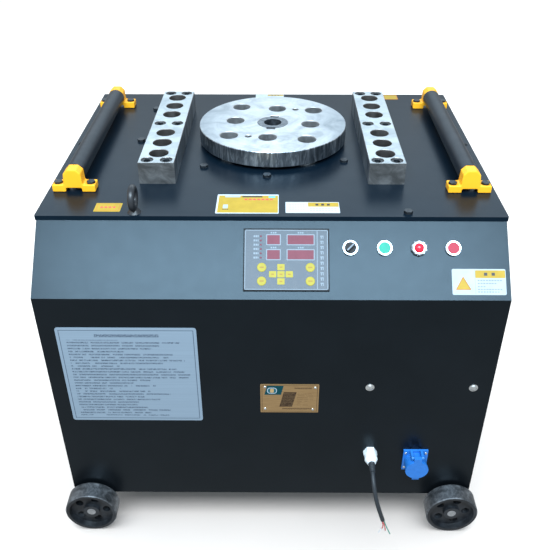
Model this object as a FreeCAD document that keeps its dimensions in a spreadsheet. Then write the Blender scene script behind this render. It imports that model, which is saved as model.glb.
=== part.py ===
import FreeCAD, Part
import math
import os
import Sketcher
from FreeCAD import Placement, Rotation, Vector

# Rebar bender: a bending disc on a keyed spindle, driven through a vertical three-stage spur gearbox and
# V-belts by a vertical motor, all hung under a steel table on a wheeled, panelled frame.
# Millimetres.  X is to the operator's right, Y goes to the back, Z is up.  The origin is on the floor,
# under the middle of the machine.

doc = FreeCAD.newDocument("rebar_bender")

# ---------------------------------------------------------------- driving dimensions

SIZES = [
    ("table_width", 950, "table plate, across"),
    ("table_depth", 700, "table plate, front to back"),
    ("table_thick", 10, "table plate"),
    ("table_top", 775, "table top above the floor"),
    ("rear_overhang", 1, "table past the rear panel"),
    ("side_overhang", 3, "table past each side panel"),
    ("sheet", 2, "thickness of the panels"),
    ("slope_drop", 113, "height of the control slope"),
    ("slope_angle", 45, "control slope from the horizontal, degrees"),
    ("body_bottom", 80, "lower edge of the panels above the floor"),
    ("vent_length", 150, "cooling slots in the side panels"),
    ("vent_width", 6, "cooling slots in the side panels"),
    ("vent_pitch", 18, "from slot to slot"),
    ("vent_level", 200, "lowest cooling slot above the floor"),
    ("vent_count", 8, "slots in one side panel"),
    ("angle_leg", 40, "leg of the frame's angle bar"),
    ("angle_wall", 4, "wall of the frame's angle bar"),
    ("beam_level", 430, "top of the middle beams above the floor"),
    ("spindle_setback", 379, "spindle axis behind the table's front edge"),
    ("disc_diameter", 350, "bending disc"),
    ("disc_thick", 36.4, "bending disc"),
    ("disc_gap", 10, "bending disc above the table"),
    ("disc_turn", -6.9, "rest angle of the disc, degrees"),
    ("disc_bevel", 1.2, "chamfer on the disc's rims and holes"),
    ("pin_hole", 42, "diameter of the pin holes"),
    ("pin_pitch", 90.5, "grid of the pin holes"),
    ("dowel_hole", 15, "diameter of the two small holes"),
    ("seat_diameter", 72, "spindle in the disc"),
    ("key_width", 20, "drive keys"),
    ("key_depth", 12, "drive keys, along the radius"),
    ("centre_bore", 42, "bore for the centre pin"),
    ("centre_depth", 90, "depth of the centre pin's bore"),
    ("running_fit", 0.05, "gap of a turning fit, on the radius"),
    ("bolt_gap", 0.3, "gap round a bolt, on the radius"),
    ("block_width", 78, "tooth block"),
    ("block_length", 440, "tooth block"),
    ("block_height", 50, "tooth block"),
    ("block_x", 247, "middle of a tooth block from the middle of the table"),
    ("block_lead", 16, "middle of the tooth blocks ahead of the spindle"),
    ("tooth_pitch", 57, "holes of a tooth block"),
    ("screw_reach", 205, "end screws from the middle of the block"),
    ("screw_spread", 41, "the two screws of a pair"),
    ("cap_diameter", 24, "head of a block screw"),
    ("cap_height", 16, "head of a block screw"),
    ("cap_sink", 18, "depth of the counterbore"),
    ("cap_shank", 16, "diameter of a block screw"),
    ("roller_inset", 57, "roller axis from the table's side"),
    ("roller_diameter", 42, "side roller"),
    ("roller_length", 456, "side roller"),
    ("roller_height", 30, "roller axis above the table"),
    ("roller_front", -159.5, "front end of the rollers"),
    ("roller_play", 0.75, "gap at each end of a roller"),
    ("axle_diameter", 20, "roller axle"),
    ("bracket_width", 91, "roller bracket"),
    ("bracket_deep", 30, "roller bracket, along the roller"),
    ("bracket_foot", 16.5, "height of the bracket's foot"),
    ("hump_width", 40, "upright part of the bracket"),
    ("hump_height", 50.5, "bracket above the table"),
    ("notch_width", 34, "relief under the bracket"),
    ("notch_height", 9, "relief under the bracket"),
    ("bracket_bolt_x", 34.5, "bracket bolts from the bracket's middle"),
    ("small_bolt", 10, "diameter of the bracket and case bolts"),
    ("table_bolt", 10, "diameter of the gearbox bolts"),
    ("eye_radius", 20, "lifting eye, to the middle of its bar"),
    ("eye_bar", 14, "diameter of the lifting eye's bar"),
    ("eye_collar", 28, "diameter of the lifting eye's collar"),
    ("eye_collar_height", 10, "lifting eye's collar"),
    ("front_fix_x", 276, "lifting eye and front bolt from the middle"),
    ("front_fix_y", 16.5, "the same, behind the table's front edge"),
    ("edge_screw_inset", 11, "edge screws from the table's side"),
    ("top_plate_left", 335, "gearbox top plate, left of the middle"),
    ("top_plate_right", 300, "gearbox top plate, right of the middle"),
    ("top_plate_front", 236, "gearbox top plate, ahead of the spindle"),
    ("top_plate_rear", 276, "gearbox top plate, behind the spindle"),
    ("top_plate_thick", 20, "gearbox top plate"),
    ("case_left", 297, "gearbox case, left of the middle"),
    ("case_right", 192, "gearbox case, right of the middle"),
    ("case_front", 193, "gearbox case, ahead of the spindle"),
    ("case_rear", 252, "gearbox case, behind the spindle"),
    ("case_wall", 10, "gearbox case"),
    ("case_height", 214, "gearbox case under its top plate"),
    ("case_flange", 20, "bolting flange of the case"),
    ("case_flange_thick", 12, "bolting flange of the case"),
    ("boss_wall", 15, "metal round a bearing"),
    ("bull_teeth", 64, "bull gear"),
    ("bull_pinion_teeth", 16, "pinion on the second shaft"),
    ("bull_module", 5, "bull gear stage"),
    ("second_teeth", 68, "gear on the second shaft"),
    ("second_pinion_teeth", 17, "pinion on the first shaft"),
    ("second_module", 3, "second stage"),
    ("first_teeth", 72, "gear on the first shaft"),
    ("first_pinion_teeth", 20, "pinion on the input shaft"),
    ("first_module", 2, "first stage"),
    ("bull_face", 60, "tooth width of the bull gear stage"),
    ("second_face", 40, "tooth width of the second stage"),
    ("first_face", 28, "tooth width of the first stage"),
    ("gear_gap", 13, "height between two stages"),
    ("tooth_play", 0.05, "backlash as a share of the module"),
    ("second_way", 138.5, "second shaft seen from the spindle, degrees"),
    ("first_way", 250, "first shaft seen from the second, degrees"),
    ("input_way", 270, "input shaft seen from the first, degrees"),
    ("motor_reach", 324, "motor axis right of the input shaft"),
    ("input_pulley_radius", 112, "pitch radius of the input pulley"),
    ("motor_pulley_radius", 45, "pitch radius of the motor pulley"),
    ("pulley_height", 50, "both pulleys"),
    ("pulley_level", 455, "underside of the pulleys above the floor"),
    ("belt_pitch", 15.5, "from belt to belt"),
    ("belt_width", 12.6, "top width of a belt"),
    ("belt_height", 8, "belt section"),
    ("belt_gap", 0.4, "gap between a belt and its groove"),
    ("motor_shell", 85, "radius of the motor's wall"),
    ("motor_fins", 98, "radius over the motor's fins"),
    ("motor_bottom", 170, "lower end of the motor's shell"),
    ("motor_flange", 110, "radius of the motor's flange"),
    ("motor_flange_thick", 16, "motor's flange"),
    ("rotor_radius", 61.3, "rotor"),
    ("stator_gap", 0.7, "air gap of the motor"),
    ("motor_plate_thick", 12, "motor's mounting plate"),
    ("wheel_diameter", 120, "wheels"),
    ("wheel_width", 42, "wheels"),
    ("wheel_x", 427, "wheels from the middle"),
    ("wheel_gap", 5, "wheel in front of the panel"),
    ("wheel_axle", 20, "diameter of the wheels' axles"),
    ("controller_x", 30.5, "middle of the controller"),
    ("controller_width", 170, "controller's face"),
    ("controller_height", 126, "controller's face, along the slope"),
    ("controller_drop", 80, "middle of the controller down the slope"),
    ("switch_x", 157.5, "first switch from the middle"),
    ("switch_pitch", 68, "from switch to switch"),
    ("switch_drop", 56, "switches down the slope"),
    ("bezel_diameter", 30, "ring round a switch"),
    ("bezel_height", 6, "ring round a switch"),
    ("barrel_diameter", 22, "switch in its hole"),
    ("cap_radius", 11.6, "button's cap"),
    ("plate_width", 287, "instruction plate"),
    ("plate_height", 259, "instruction plate"),
    ("plate_x", -294.5, "middle of the instruction plate"),
    ("plate_level", 451.5, "middle of the instruction plate above the floor"),
    ("badge_width", 126, "rating plate"),
    ("badge_height", 82, "rating plate"),
    ("badge_x", 40, "middle of the rating plate"),
    ("badge_level", 389, "middle of the rating plate above the floor"),
    ("gland_x", 226, "cable gland from the middle"),
    ("gland_level", 225, "cable gland above the floor"),
    ("gland_reach", 37, "cable gland in front of the panel"),
    ("cord_diameter", 9.5, "power cable"),
    ("wire_diameter", 2.4, "one core of the power cable"),
    ("socket_x", 330.5, "socket from the middle"),
    ("socket_level", 201, "socket above the floor"),
    ("socket_flange", 56, "socket's flange"),
    ("socket_radius", 25, "socket's sleeve"),
    ("socket_reach", 30, "socket in front of the panel"),
]

sheet = doc.addObject("Spreadsheet::Sheet", "Sizes")
for row, (alias, amount, note) in enumerate(SIZES, 1):
    sheet.set(f"A{row}", note)
    sheet.set(f"B{row}", str(amount))
    sheet.setAlias(f"B{row}", alias)
doc.recompute()


class Size:
    """A number together with the sheet expression that gives it."""

    def __init__(self, amount, text):
        self.amount = amount
        self.text = text

    def __add__(self, other):
        return Size(self.amount + number(other), f"({self.text} + {formula(other)})")

    def __sub__(self, other):
        return Size(self.amount - number(other), f"({self.text} - {formula(other)})")

    def __mul__(self, other):
        return Size(self.amount * number(other), f"({self.text} * {formula(other)})")

    def __truediv__(self, other):
        return Size(self.amount / number(other), f"({self.text} / {formula(other)})")

    def __rsub__(self, other):
        return Size(number(other) - self.amount, f"({formula(other)} - {self.text})")

    def __neg__(self):
        return Size(-self.amount, f"(-{self.text})")

    __radd__ = __add__
    __rmul__ = __mul__


def number(size):
    return size.amount if isinstance(size, Size) else float(size)


def formula(size):
    return size.text if isinstance(size, Size) else f"({float(size)})"


def cosine(angle):
    return Size(math.cos(math.radians(number(angle))), f"cos({formula(angle)} * 1 deg)")


def sine(angle):
    return Size(math.sin(math.radians(number(angle))), f"sin({formula(angle)} * 1 deg)")


class Sheet:
    """Gives the sheet's cells as sizes, by their alias."""

    def __getattr__(self, alias):
        return Size(float(sheet.get(alias)), "Sizes." + alias)


dim = Sheet()

# ---------------------------------------------------------------- places worked out from the sizes

slope_run = dim.slope_drop * cosine(dim.slope_angle) / sine(dim.slope_angle)
slope_length = dim.slope_drop / sine(dim.slope_angle)
body_back = (dim.table_depth + slope_run - dim.rear_overhang) / 2
body_front = -body_back
body_side = dim.table_width / 2 - dim.side_overhang
table_front = body_front + slope_run
table_under = dim.table_top - dim.table_thick
roller_x = dim.table_width / 2 - dim.roller_inset
inner_front = body_front + dim.sheet
inner_back = body_back - dim.sheet
inner_side = body_side - dim.sheet

spindle_y = table_front + dim.spindle_setback
disc_under = dim.table_top + dim.disc_gap
disc_top = disc_under + dim.disc_thick
block_y = spindle_y - dim.block_lead
block_top = dim.table_top + dim.block_height

plate_under = table_under - dim.top_plate_thick
case_under = plate_under - dim.case_height
bull_top = plate_under - 20
bull_under = bull_top - dim.bull_face
second_top = bull_under - dim.gear_gap
second_under = second_top - dim.second_face
first_top = second_under - 22
first_under = first_top - dim.first_face

bull_reach = dim.bull_module * (dim.bull_teeth + dim.bull_pinion_teeth) / 2
second_reach = dim.second_module * (dim.second_teeth + dim.second_pinion_teeth) / 2
first_reach = dim.first_module * (dim.first_teeth + dim.first_pinion_teeth) / 2
second_x = bull_reach * cosine(dim.second_way)
second_y = spindle_y + bull_reach * sine(dim.second_way)
first_x = second_x + second_reach * cosine(dim.first_way)
first_y = second_y + second_reach * sine(dim.first_way)
input_x = first_x + first_reach * cosine(dim.input_way)
input_y = first_y + first_reach * sine(dim.input_way)
motor_x = input_x + dim.motor_reach
motor_y = input_y

roller_axis = dim.table_top + dim.roller_height
roller_back = dim.roller_front + dim.roller_length
wheel_back = body_back + dim.wheel_gap
wheel_face = wheel_back + dim.wheel_width
wheel_radius = dim.wheel_diameter / 2

# bearings: shaft radius, outer radius, width
SPINDLE_TOP_BEARING = (40, 70, 26)
SPINDLE_FOOT_BEARING = (32.5, 60, 23)
SECOND_BEARING = (25, 45, 20)
FIRST_BEARING = (17.5, 36, 17)
INPUT_BEARING = (15, 31, 16)
MOTOR_BEARING = (15, 31, 16)
FAN_BEARING = (12.5, 26, 15)

# ---------------------------------------------------------------- building helpers

ALONG = {"X": (Vector(0, 1, 0), 90), "Y": (Vector(1, 0, 0), -90), "Z": (Vector(0, 0, 1), 0)}
nodes = []


def tie(thing, **sizes):
    """Bind properties to sheet expressions."""
    for path, size in sizes.items():
        thing.setExpression(path, formula(size))
    return thing


def place(thing, x=0, y=0, z=0, axis=Vector(0, 0, 1), turn=0):
    """Put an object at a point, turned about an axis, and bind what comes from the sheet."""
    thing.Placement = Placement(Vector(number(x), number(y), number(z)), Rotation(axis, number(turn)))
    for letter, size in zip("xyz", (x, y, z)):
        if isinstance(size, Size):
            thing.setExpression(f".Placement.Base.{letter}", size.text)
    if isinstance(turn, Size):
        thing.setExpression(".Placement.Rotation.Angle", turn.text)
    return thing


def on_slope(thing):
    """Move an object from the slope's own frame: X across, Y up the slope, Z out of it."""
    return place(together(thing), 0, table_front, table_under, Vector(1, 0, 0), dim.slope_angle)


def box(x, y, z):
    """A box between two values on each axis."""
    solid = doc.addObject("Part::Box", "Box")
    tie(solid, Length=x[1] - x[0], Width=y[1] - y[0], Height=z[1] - z[0])
    return place(solid, x[0], y[0], z[0])


def rod(radius, x, y, z, length, along="Z"):
    """A cylinder from its base point, along an axis."""
    solid = doc.addObject("Part::Cylinder", "Cylinder")
    tie(solid, Radius=radius, Height=length)
    return place(solid, x, y, z, *ALONG[along])


def cone(radius, top_radius, x, y, z, length, along="Z"):
    solid = doc.addObject("Part::Cone", "Cone")
    tie(solid, Radius1=radius, Radius2=top_radius, Height=length)
    return place(solid, x, y, z, *ALONG[along])


def hexagon(across, x, y, z, length, along="Z"):
    """A six-sided bar, given across its flats."""
    solid = doc.addObject("Part::Prism", "Prism")
    solid.Polygon = 6
    tie(solid, Circumradius=across / math.sqrt(3), Height=length)
    return place(solid, x, y, z, *ALONG[along])


def union(*solids):
    if len(solids) == 1:
        return solids[0]
    fused = doc.addObject("Part::MultiFuse", "Fusion")
    fused.Shapes = list(solids)
    return fused


def minus(base, *tools):
    cut = doc.addObject("Part::Cut", "Cut")
    cut.Base = base
    cut.Tool = union(*tools)
    return cut


def together(*solids):
    """Several separate solids in one object."""
    group = doc.addObject("Part::Compound", "Compound")
    group.Links = list(solids)
    return group


def tube(outer, inner, x, y, z, length, along="Z"):
    return minus(rod(outer, x, y, z, length, along), rod(inner, x, y, z, length, along))


def node(label, thing):
    """Name a finished sub-part."""
    thing.Label = label
    nodes.append(thing)
    return thing


def coded(label, shape, x=0, y=0, z=0):
    """A sub-part whose shape is worked out here from the sheet's sizes."""
    thing = doc.addObject("Part::Feature", "Feature")
    thing.Shape = shape
    place(thing, x, y, z)
    return node(label, thing)


def hex_bolt(diameter, length, x, y, z, head=1.0, down=False):
    """A hexagon bolt whose head sits on the level z, with its shank below, or above when down is set."""
    way = -1 if down else 1
    high = 0.6 * number(diameter) * head
    cap = hexagon(diameter * 1.6, 0, 0, 0, high)
    shank = rod(diameter / 2, 0, 0, -number(length), length)
    return place(union(cap, shank), x, y, z, Vector(1, 0, 0), 0 if way > 0 else 180)


# ---- sketched bodies

def new_body(label):
    body = doc.addObject("PartDesign::Body", "Body")
    return node(label, body)


def sketch_on(body, role, lift):
    """A sketch on one of the body's own origin planes, raised along that plane's normal."""
    plane = next(item for item in body.Origin.OriginFeatures if item.Role == role)
    sketch = body.newObject("Sketcher::SketchObject", "Sketch")
    sketch.AttachmentSupport = [(plane, "")]
    sketch.MapMode = "FlatFace"
    if isinstance(lift, Size):
        sketch.setExpression(".AttachmentOffset.Base.z", lift.text)
    return sketch


def pin_point(sketch, shape, spot, x, y):
    """Hold one point of a sketch at bound distances from the sketch's origin."""
    for kind, size, axis in (("DistanceX", x, -2), ("DistanceY", y, -1)):
        if number(size) == 0:
            sketch.addConstraint(Sketcher.Constraint("PointOnObject", shape, spot, axis))
        else:
            index = sketch.addConstraint(Sketcher.Constraint(kind, -1, 1, shape, spot, number(size)))
            sketch.setExpression(f"Constraints[{index}]", formula(size))


def circles(body, spots, lift=0, role="XY_Plane"):
    """A sketch of circles, each given by x, y and radius."""
    sketch = sketch_on(body, role, lift)
    for x, y, radius in spots:
        ring = Part.Circle(Vector(number(x), number(y), 0), Vector(0, 0, 1), number(radius))
        shape = sketch.addGeometry(ring, False)
        index = sketch.addConstraint(Sketcher.Constraint("Radius", shape, number(radius)))
        sketch.setExpression(f"Constraints[{index}]", formula(radius))
        pin_point(sketch, shape, 3, x, y)
    return sketch


def outline(body, points, lift=0, role="XY_Plane"):
    """A sketch of one closed outline with straight sides."""
    sketch = sketch_on(body, role, lift)
    corners = [Vector(number(x), number(y), 0) for x, y in points]
    for index, corner in enumerate(corners):
        sketch.addGeometry(Part.LineSegment(corner, corners[(index + 1) % len(corners)]), False)
    for index, (x, y) in enumerate(points):
        sketch.addConstraint(Sketcher.Constraint("Coincident", index, 2, (index + 1) % len(points), 1))
        pin_point(sketch, index, 1, x, y)
    return sketch


def rectangle(body, x, y, lift=0, role="XY_Plane"):
    return outline(body, [(x[0], y[0]), (x[1], y[0]), (x[1], y[1]), (x[0], y[1])], lift, role)


def pad(body, sketch, length, backwards=False):
    feature = body.newObject("PartDesign::Pad", "Pad")
    feature.Profile = sketch
    feature.Reversed = backwards
    feature.setExpression("Length", formula(length))
    return feature


def pocket(body, sketch, depth, backwards=False):
    """Cut a sketch into the body and make sure that it takes metal away."""
    doc.recompute()
    before = body.Tip.Shape.Volume
    feature = body.newObject("PartDesign::Pocket", "Pocket")
    feature.Profile = sketch
    feature.Reversed = backwards
    feature.setExpression("Length", formula(depth))
    doc.recompute()
    if feature.Shape.Volume >= before:
        raise RuntimeError(f"a pocket of {body.Label} cuts nothing")
    return feature


def revolve(body, points):
    """Turn an outline of radii and levels about the body's vertical axis."""
    sketch = outline(body, points, role="XZ_Plane")
    feature = body.newObject("PartDesign::Revolution", "Revolution")
    feature.Profile = sketch
    feature.ReferenceAxis = (sketch, ["V_Axis"])
    feature.Angle = 360
    return feature


def round_pattern(body, feature, count):
    """Repeat a feature round the body's vertical axis."""
    pattern = body.newObject("PartDesign::PolarPattern", "PolarPattern")
    axis = next(item for item in body.Origin.OriginFeatures if item.Role == "Z_Axis")
    pattern.Originals = [feature]
    pattern.Axis = (axis, [""])
    pattern.Angle = 360
    pattern.Occurrences = count
    body.Tip = pattern
    return pattern


def soften(body, kind, size, wanted):
    """Chamfer or fillet the edges of the body's last feature that are wanted."""
    doc.recompute()
    last = body.Tip
    names = [f"Edge{index}" for index, edge in enumerate(last.Shape.Edges, 1) if wanted(edge)]
    feature = body.newObject(f"PartDesign::{kind}", kind)
    feature.Base = (last, names)
    feature.setExpression("Size" if kind == "Chamfer" else "Radius", formula(size))
    return feature


def at_level(*levels):
    """Accept the flat edges at one of the given heights of the body."""
    def wanted(edge):
        span = edge.BoundBox
        return any(max(abs(span.ZMin - number(level)), abs(span.ZMax - number(level))) < 0.001
                   for level in levels)
    return wanted


def upright(edge):
    span = edge.BoundBox
    return span.ZLength > 0.1 and span.XLength < 0.001 and span.YLength < 0.001


# ---- turned shapes and gears

def turned(points):
    """A solid turned about Z from an outline of radii and levels."""
    corners = [Vector(number(radius), 0, number(level)) for radius, level in points]
    return Part.Face(Part.makePolygon(corners + corners[:1])).revolve(Vector(), Vector(0, 0, 1), 360)


def disc_shape(radius, bottom, top, bore=0):
    shape = Part.makeCylinder(number(radius), number(top - bottom), Vector(0, 0, number(bottom)))
    if number(bore) > 0:
        shape = shape.cut(Part.makeCylinder(number(bore), number(top - bottom), Vector(0, 0, number(bottom))))
    return shape


PRESSURE_ANGLE = math.radians(20)
FLANK_STEPS = 3


def involute(angle):
    return math.tan(angle) - angle


def gear_shape(teeth, module, bottom, top, tooth_way):
    """A spur gear blank with involute teeth, one of them centred on the given angle."""
    count = round(number(teeth))
    module = number(module)
    pitch = module * count / 2
    base = pitch * math.cos(PRESSURE_ANGLE)
    tip = pitch + module
    root = pitch - 1.25 * module
    half_tooth = (math.pi / 2 - number(dim.tooth_play)) / count + involute(PRESSURE_ANGLE)
    start = max(base, root)
    flank = []
    for step in range(FLANK_STEPS + 1):
        radius = start + (tip - start) * step / FLANK_STEPS
        flank.append((radius, half_tooth - involute(math.acos(base / radius))))
    if root < base:
        flank.insert(0, (root, half_tooth))
    one_tooth = [(radius, -half) for radius, half in flank] + [(radius, half) for radius, half in flank[::-1]]
    corners = []
    for index in range(count):
        middle = math.radians(tooth_way) + 2 * math.pi * index / count
        corners += [Vector(radius * math.cos(middle + half), radius * math.sin(middle + half), number(bottom))
                    for radius, half in one_tooth]
    return Part.Face(Part.makePolygon(corners + corners[:1])).extrude(Vector(0, 0, number(top - bottom)))


def facing_gap(way, teeth):
    """The tooth angle of a pinion whose gap faces a gear that lies behind the given direction."""
    return number(way) + 180 + 180 / number(teeth)


# ---------------------------------------------------------------- table and panels

def fastener_spots():
    """Every bolt that goes through the table: x, y and its diameter."""
    block = [(side * (dim.block_x + pair * dim.screw_spread / 2), block_y + row * dim.screw_reach)
             for side in (-1, 1) for pair in (-1, 1) for row in (-1, 0, 1)]
    bracket = [(side * roller_x + pair * dim.bracket_bolt_x, y)
               for side in (-1, 1) for pair in (-1, 1)
               for y in (dim.roller_front - dim.roller_play - dim.bracket_deep / 2,
                         roller_back + dim.roller_play + dim.bracket_deep / 2)]
    gearbox = [(-154, spindle_y - 152), (-11, spindle_y - 199), (164, spindle_y - 121),
               (-319, spindle_y - 7), (-311, spindle_y + 200)]
    front = [(side * dim.front_fix_x, table_front + dim.front_fix_y) for side in (-1, 1)]
    edge = [(side * (dim.table_width / 2 - dim.edge_screw_inset), spindle_y - 22) for side in (-1, 1)]
    return block, bracket, gearbox, front, edge


block_spots, bracket_spots, gearbox_spots, front_spots, edge_spots = fastener_spots()
EDGE_SCREW = 6

table = new_body("table_plate")
table_span = (-dim.table_width / 2, dim.table_width / 2)
pad(table, rectangle(table, table_span, (table_front, table_front + dim.table_depth)), dim.table_thick)
soften(table, "Fillet", 3, upright)
table_holes = [(0, spindle_y, 50)]
table_holes += [(x, y, dim.cap_shank / 2 + dim.bolt_gap) for x, y in block_spots]
table_holes += [(x, y, dim.small_bolt / 2 + dim.bolt_gap) for x, y in bracket_spots]
table_holes += [(x, y, dim.table_bolt / 2 + dim.bolt_gap) for x, y in gearbox_spots + front_spots]
table_holes += [(x, y, EDGE_SCREW / 2 + dim.bolt_gap) for x, y in edge_spots]
pocket(table, circles(table, table_holes, dim.table_thick), dim.table_thick)
place(table, 0, 0, table_under)

# front cover: one bent sheet, the slope above and the vertical front below
bend = dim.sheet * sine((90 - dim.slope_angle) / 2) / cosine((90 - dim.slope_angle) / 2)
bend_level = table_under - dim.slope_drop
bent_sheet = doc.addObject("PartDesign::Body", "Body")
cover_profile = [
    (table_front, table_under),
    (body_front, bend_level),
    (body_front, dim.body_bottom),
    (inner_front, dim.body_bottom),
    (inner_front, bend_level - bend),
    (table_front + dim.sheet / sine(dim.slope_angle), table_under),
]
pad(bent_sheet, outline(bent_sheet, cover_profile, -body_side, "YZ_Plane"), body_side * 2)

CONTROLLER_DEEP = 55
case_half_width = dim.controller_width / 2 - 5
case_half_height = dim.controller_height / 2 - 5
controller_span_x = (dim.controller_x - case_half_width, dim.controller_x + case_half_width)
controller_span_y = (-dim.controller_drop - case_half_height, -dim.controller_drop + case_half_height)
switch_spots = [dim.switch_x + dim.switch_pitch * index for index in range(4)]
DOME_SCREW = 8
DOME_SPOTS = (211.5, 432.5)
dome_level = dim.beam_level - 8

slope_holes = [rod(dim.barrel_diameter / 2 + 0.2, x, -dim.switch_drop, -20, 40) for x in switch_spots]
controller_hole = box((controller_span_x[0] - 0.5, controller_span_x[1] + 0.5),
                      (controller_span_y[0] - 0.5, controller_span_y[1] + 0.5), (-20, 20))
slope_tool = on_slope(union(controller_hole, *slope_holes))
front_tools = [rod(DOME_SCREW / 2 + dim.bolt_gap, x, body_front - 5, dome_level, 10 + dim.sheet, "Y")
               for x in DOME_SPOTS]
front_tools.append(rod(10.5, dim.gland_x, body_front - 5, dim.gland_level, 10 + dim.sheet, "Y"))
front_tools.append(rod(22, dim.socket_x, body_front - 5, dim.socket_level, 10 + dim.sheet, "Y"))
node("front_cover", minus(bent_sheet, slope_tool, *front_tools))

# side panels, cut to the slope, with cooling slots
SIDE_SCREW = 5
side_screw_spots = [(y, z) for y in (inner_front + dim.angle_leg / 2, inner_back - dim.angle_leg / 2)
                    for z in (dim.body_bottom + dim.angle_leg / 2, bend_level - 40)]
for label, low_x in (("left_side_panel", -body_side), ("right_side_panel", inner_side)):
    panel = new_body(label)
    panel_profile = [
        (inner_front, dim.body_bottom),
        (inner_back, dim.body_bottom),
        (inner_back, table_under),
        (table_front + dim.sheet / sine(dim.slope_angle), table_under),
        (inner_front, bend_level - bend),
    ]
    pad(panel, outline(panel, panel_profile, low_x, "YZ_Plane"), dim.sheet)
    holes = circles(panel, [(y, z, SIDE_SCREW / 2 + 0.3) for y, z in side_screw_spots],
                    low_x + dim.sheet, "YZ_Plane")
    pocket(panel, holes, dim.sheet)
    slot = rectangle(panel, (motor_y - dim.vent_length / 2, motor_y + dim.vent_length / 2),
                     (dim.vent_level, dim.vent_level + dim.vent_width), low_x + dim.sheet, "YZ_Plane")
    first_slot = pocket(panel, slot, dim.sheet)
    row = panel.newObject("PartDesign::LinearPattern", "LinearPattern")
    row.Originals = [first_slot]
    row.Direction = (slot, ["V_Axis"])
    tie(row, Length=dim.vent_pitch * (dim.vent_count - 1), Occurrences=dim.vent_count)
    panel.Tip = row

rear = new_body("rear_panel")
rear_z = (dim.body_bottom, table_under)
pad(rear, rectangle(rear, (-body_side, body_side), rear_z, -body_back, "XZ_Plane"), dim.sheet)
rear_screw_spots = [(side * (inner_side - dim.angle_leg / 2), z) for side in (-1, 1)
                    for z in (dim.body_bottom + dim.angle_leg / 2, dim.beam_level + 140)]
rear_screws = [(x, z, SIDE_SCREW / 2 + dim.bolt_gap) for x, z in rear_screw_spots]
rear_holes = circles(rear, rear_screws, -inner_back, "XZ_Plane")
pocket(rear, rear_holes, dim.sheet)

# ---------------------------------------------------------------- frame

wall = dim.angle_wall
leg = dim.angle_leg
ring_low = (dim.body_bottom, dim.body_bottom + leg)


def angle_bar(x, y, z, flat, upright_leg):
    """An L-section bar: a box trimmed to one flat leg and one upright leg."""
    spans = {"x": x, "y": y, "z": z}
    legs = []
    for side in (flat, upright_leg):
        axis, end = side[0], side[1]
        low, high = spans[axis]
        thin = dict(spans)
        thin[axis] = (low, low + wall) if end == "-" else (high - wall, high)
        legs.append(box(thin["x"], thin["y"], thin["z"]))
    return legs


FLAT_BAR = 8
ring_top = (table_under - leg, table_under)
beam = (dim.beam_level - leg, dim.beam_level)
post_top = bend_level - bend
bars = []
for side, sign in (("-", -1), ("+", 1)):
    edge_x = (-inner_side, leg - inner_side) if side == "-" else (inner_side - leg, inner_side)
    bars += angle_bar(edge_x, (inner_front, inner_back), ring_low, "z-", "x" + side)
    bars += angle_bar(edge_x, (table_front + 5, inner_back), ring_top, "z+", "x" + side)
    bars += angle_bar(edge_x, (inner_front, inner_front + leg), (dim.body_bottom, post_top), "y-", "x" + side)
    rear_y = (inner_back - leg, inner_back)
    bars += angle_bar(edge_x, rear_y, (dim.body_bottom, table_under), "y+", "x" + side)
    strut_y = (3 - slope_length, -6)
    strut = box(edge_x, strut_y, (-dim.sheet - wall, -dim.sheet))
    web_x = (-inner_side, wall - inner_side) if side == "-" else (inner_side - wall, inner_side)
    bars.append(on_slope(union(strut, box(web_x, strut_y, (-leg, -dim.sheet)))))
across = (-inner_side, inner_side)
bars += angle_bar(across, (inner_front, inner_front + leg), ring_low, "z-", "y-")
bars += angle_bar(across, (inner_back - leg, inner_back), ring_low, "z-", "y+")
bars += angle_bar(across, (inner_back - leg, inner_back), ring_top, "z+", "y+")
bars.append(box(across, (table_front + 5, table_front + 5 + leg), (table_under - FLAT_BAR, table_under)))
bars += angle_bar(across, (inner_front, inner_front + leg), beam, "z+", "y-")
bars += angle_bar(across, (inner_back - leg, inner_back), beam, "z+", "y+")
rail_inner = dim.motor_flange + 4
left_rail = (motor_x - rail_inner - leg, motor_x - rail_inner)
right_rail = (motor_x + rail_inner, motor_x + rail_inner + leg)
bars += angle_bar(left_rail, (inner_front, inner_back), beam, "z+", "x+")
bars += angle_bar(right_rail, (inner_front, inner_back), beam, "z+", "x-")
HANGER_WIDTH = 50
HANGER_THICK = 6
hanger_z = (wheel_radius - 16, dim.body_bottom + wall)
for x in (-dim.wheel_x, dim.wheel_x):
    for y in ((inner_front, inner_front + HANGER_THICK), (inner_back - HANGER_THICK, inner_back)):
        bars.append(box((x - HANGER_WIDTH / 2, x + HANGER_WIDTH / 2), y, hanger_z))
frame_holes = [rod(dim.wheel_axle / 2 + 0.2, x, body_front, wheel_radius, body_back * 2, "Y")
               for x in (-dim.wheel_x, dim.wheel_x)]
frame_holes += [rod(DOME_SCREW / 2 + 0.1, x, body_front, dome_level, 20, "Y") for x in DOME_SPOTS]
frame_holes += [rod(dim.table_bolt / 2 + 0.1, x, y, table_under - 20, 20) for x, y in front_spots]
frame_holes += [rod(EDGE_SCREW / 2 + 0.1, x, y, table_under - 20, 20) for x, y in edge_spots]
frame_holes += [rod(SIDE_SCREW / 2 + 0.1, -body_side, y, z, body_side * 2, "X") for y, z in side_screw_spots]
frame_holes += [rod(SIDE_SCREW / 2 + 0.1, x, inner_back - 20, z, 20, "Y") for x, z in rear_screw_spots]
node("frame", minus(union(*bars), *frame_holes))

# ---------------------------------------------------------------- screws of the panels

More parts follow.
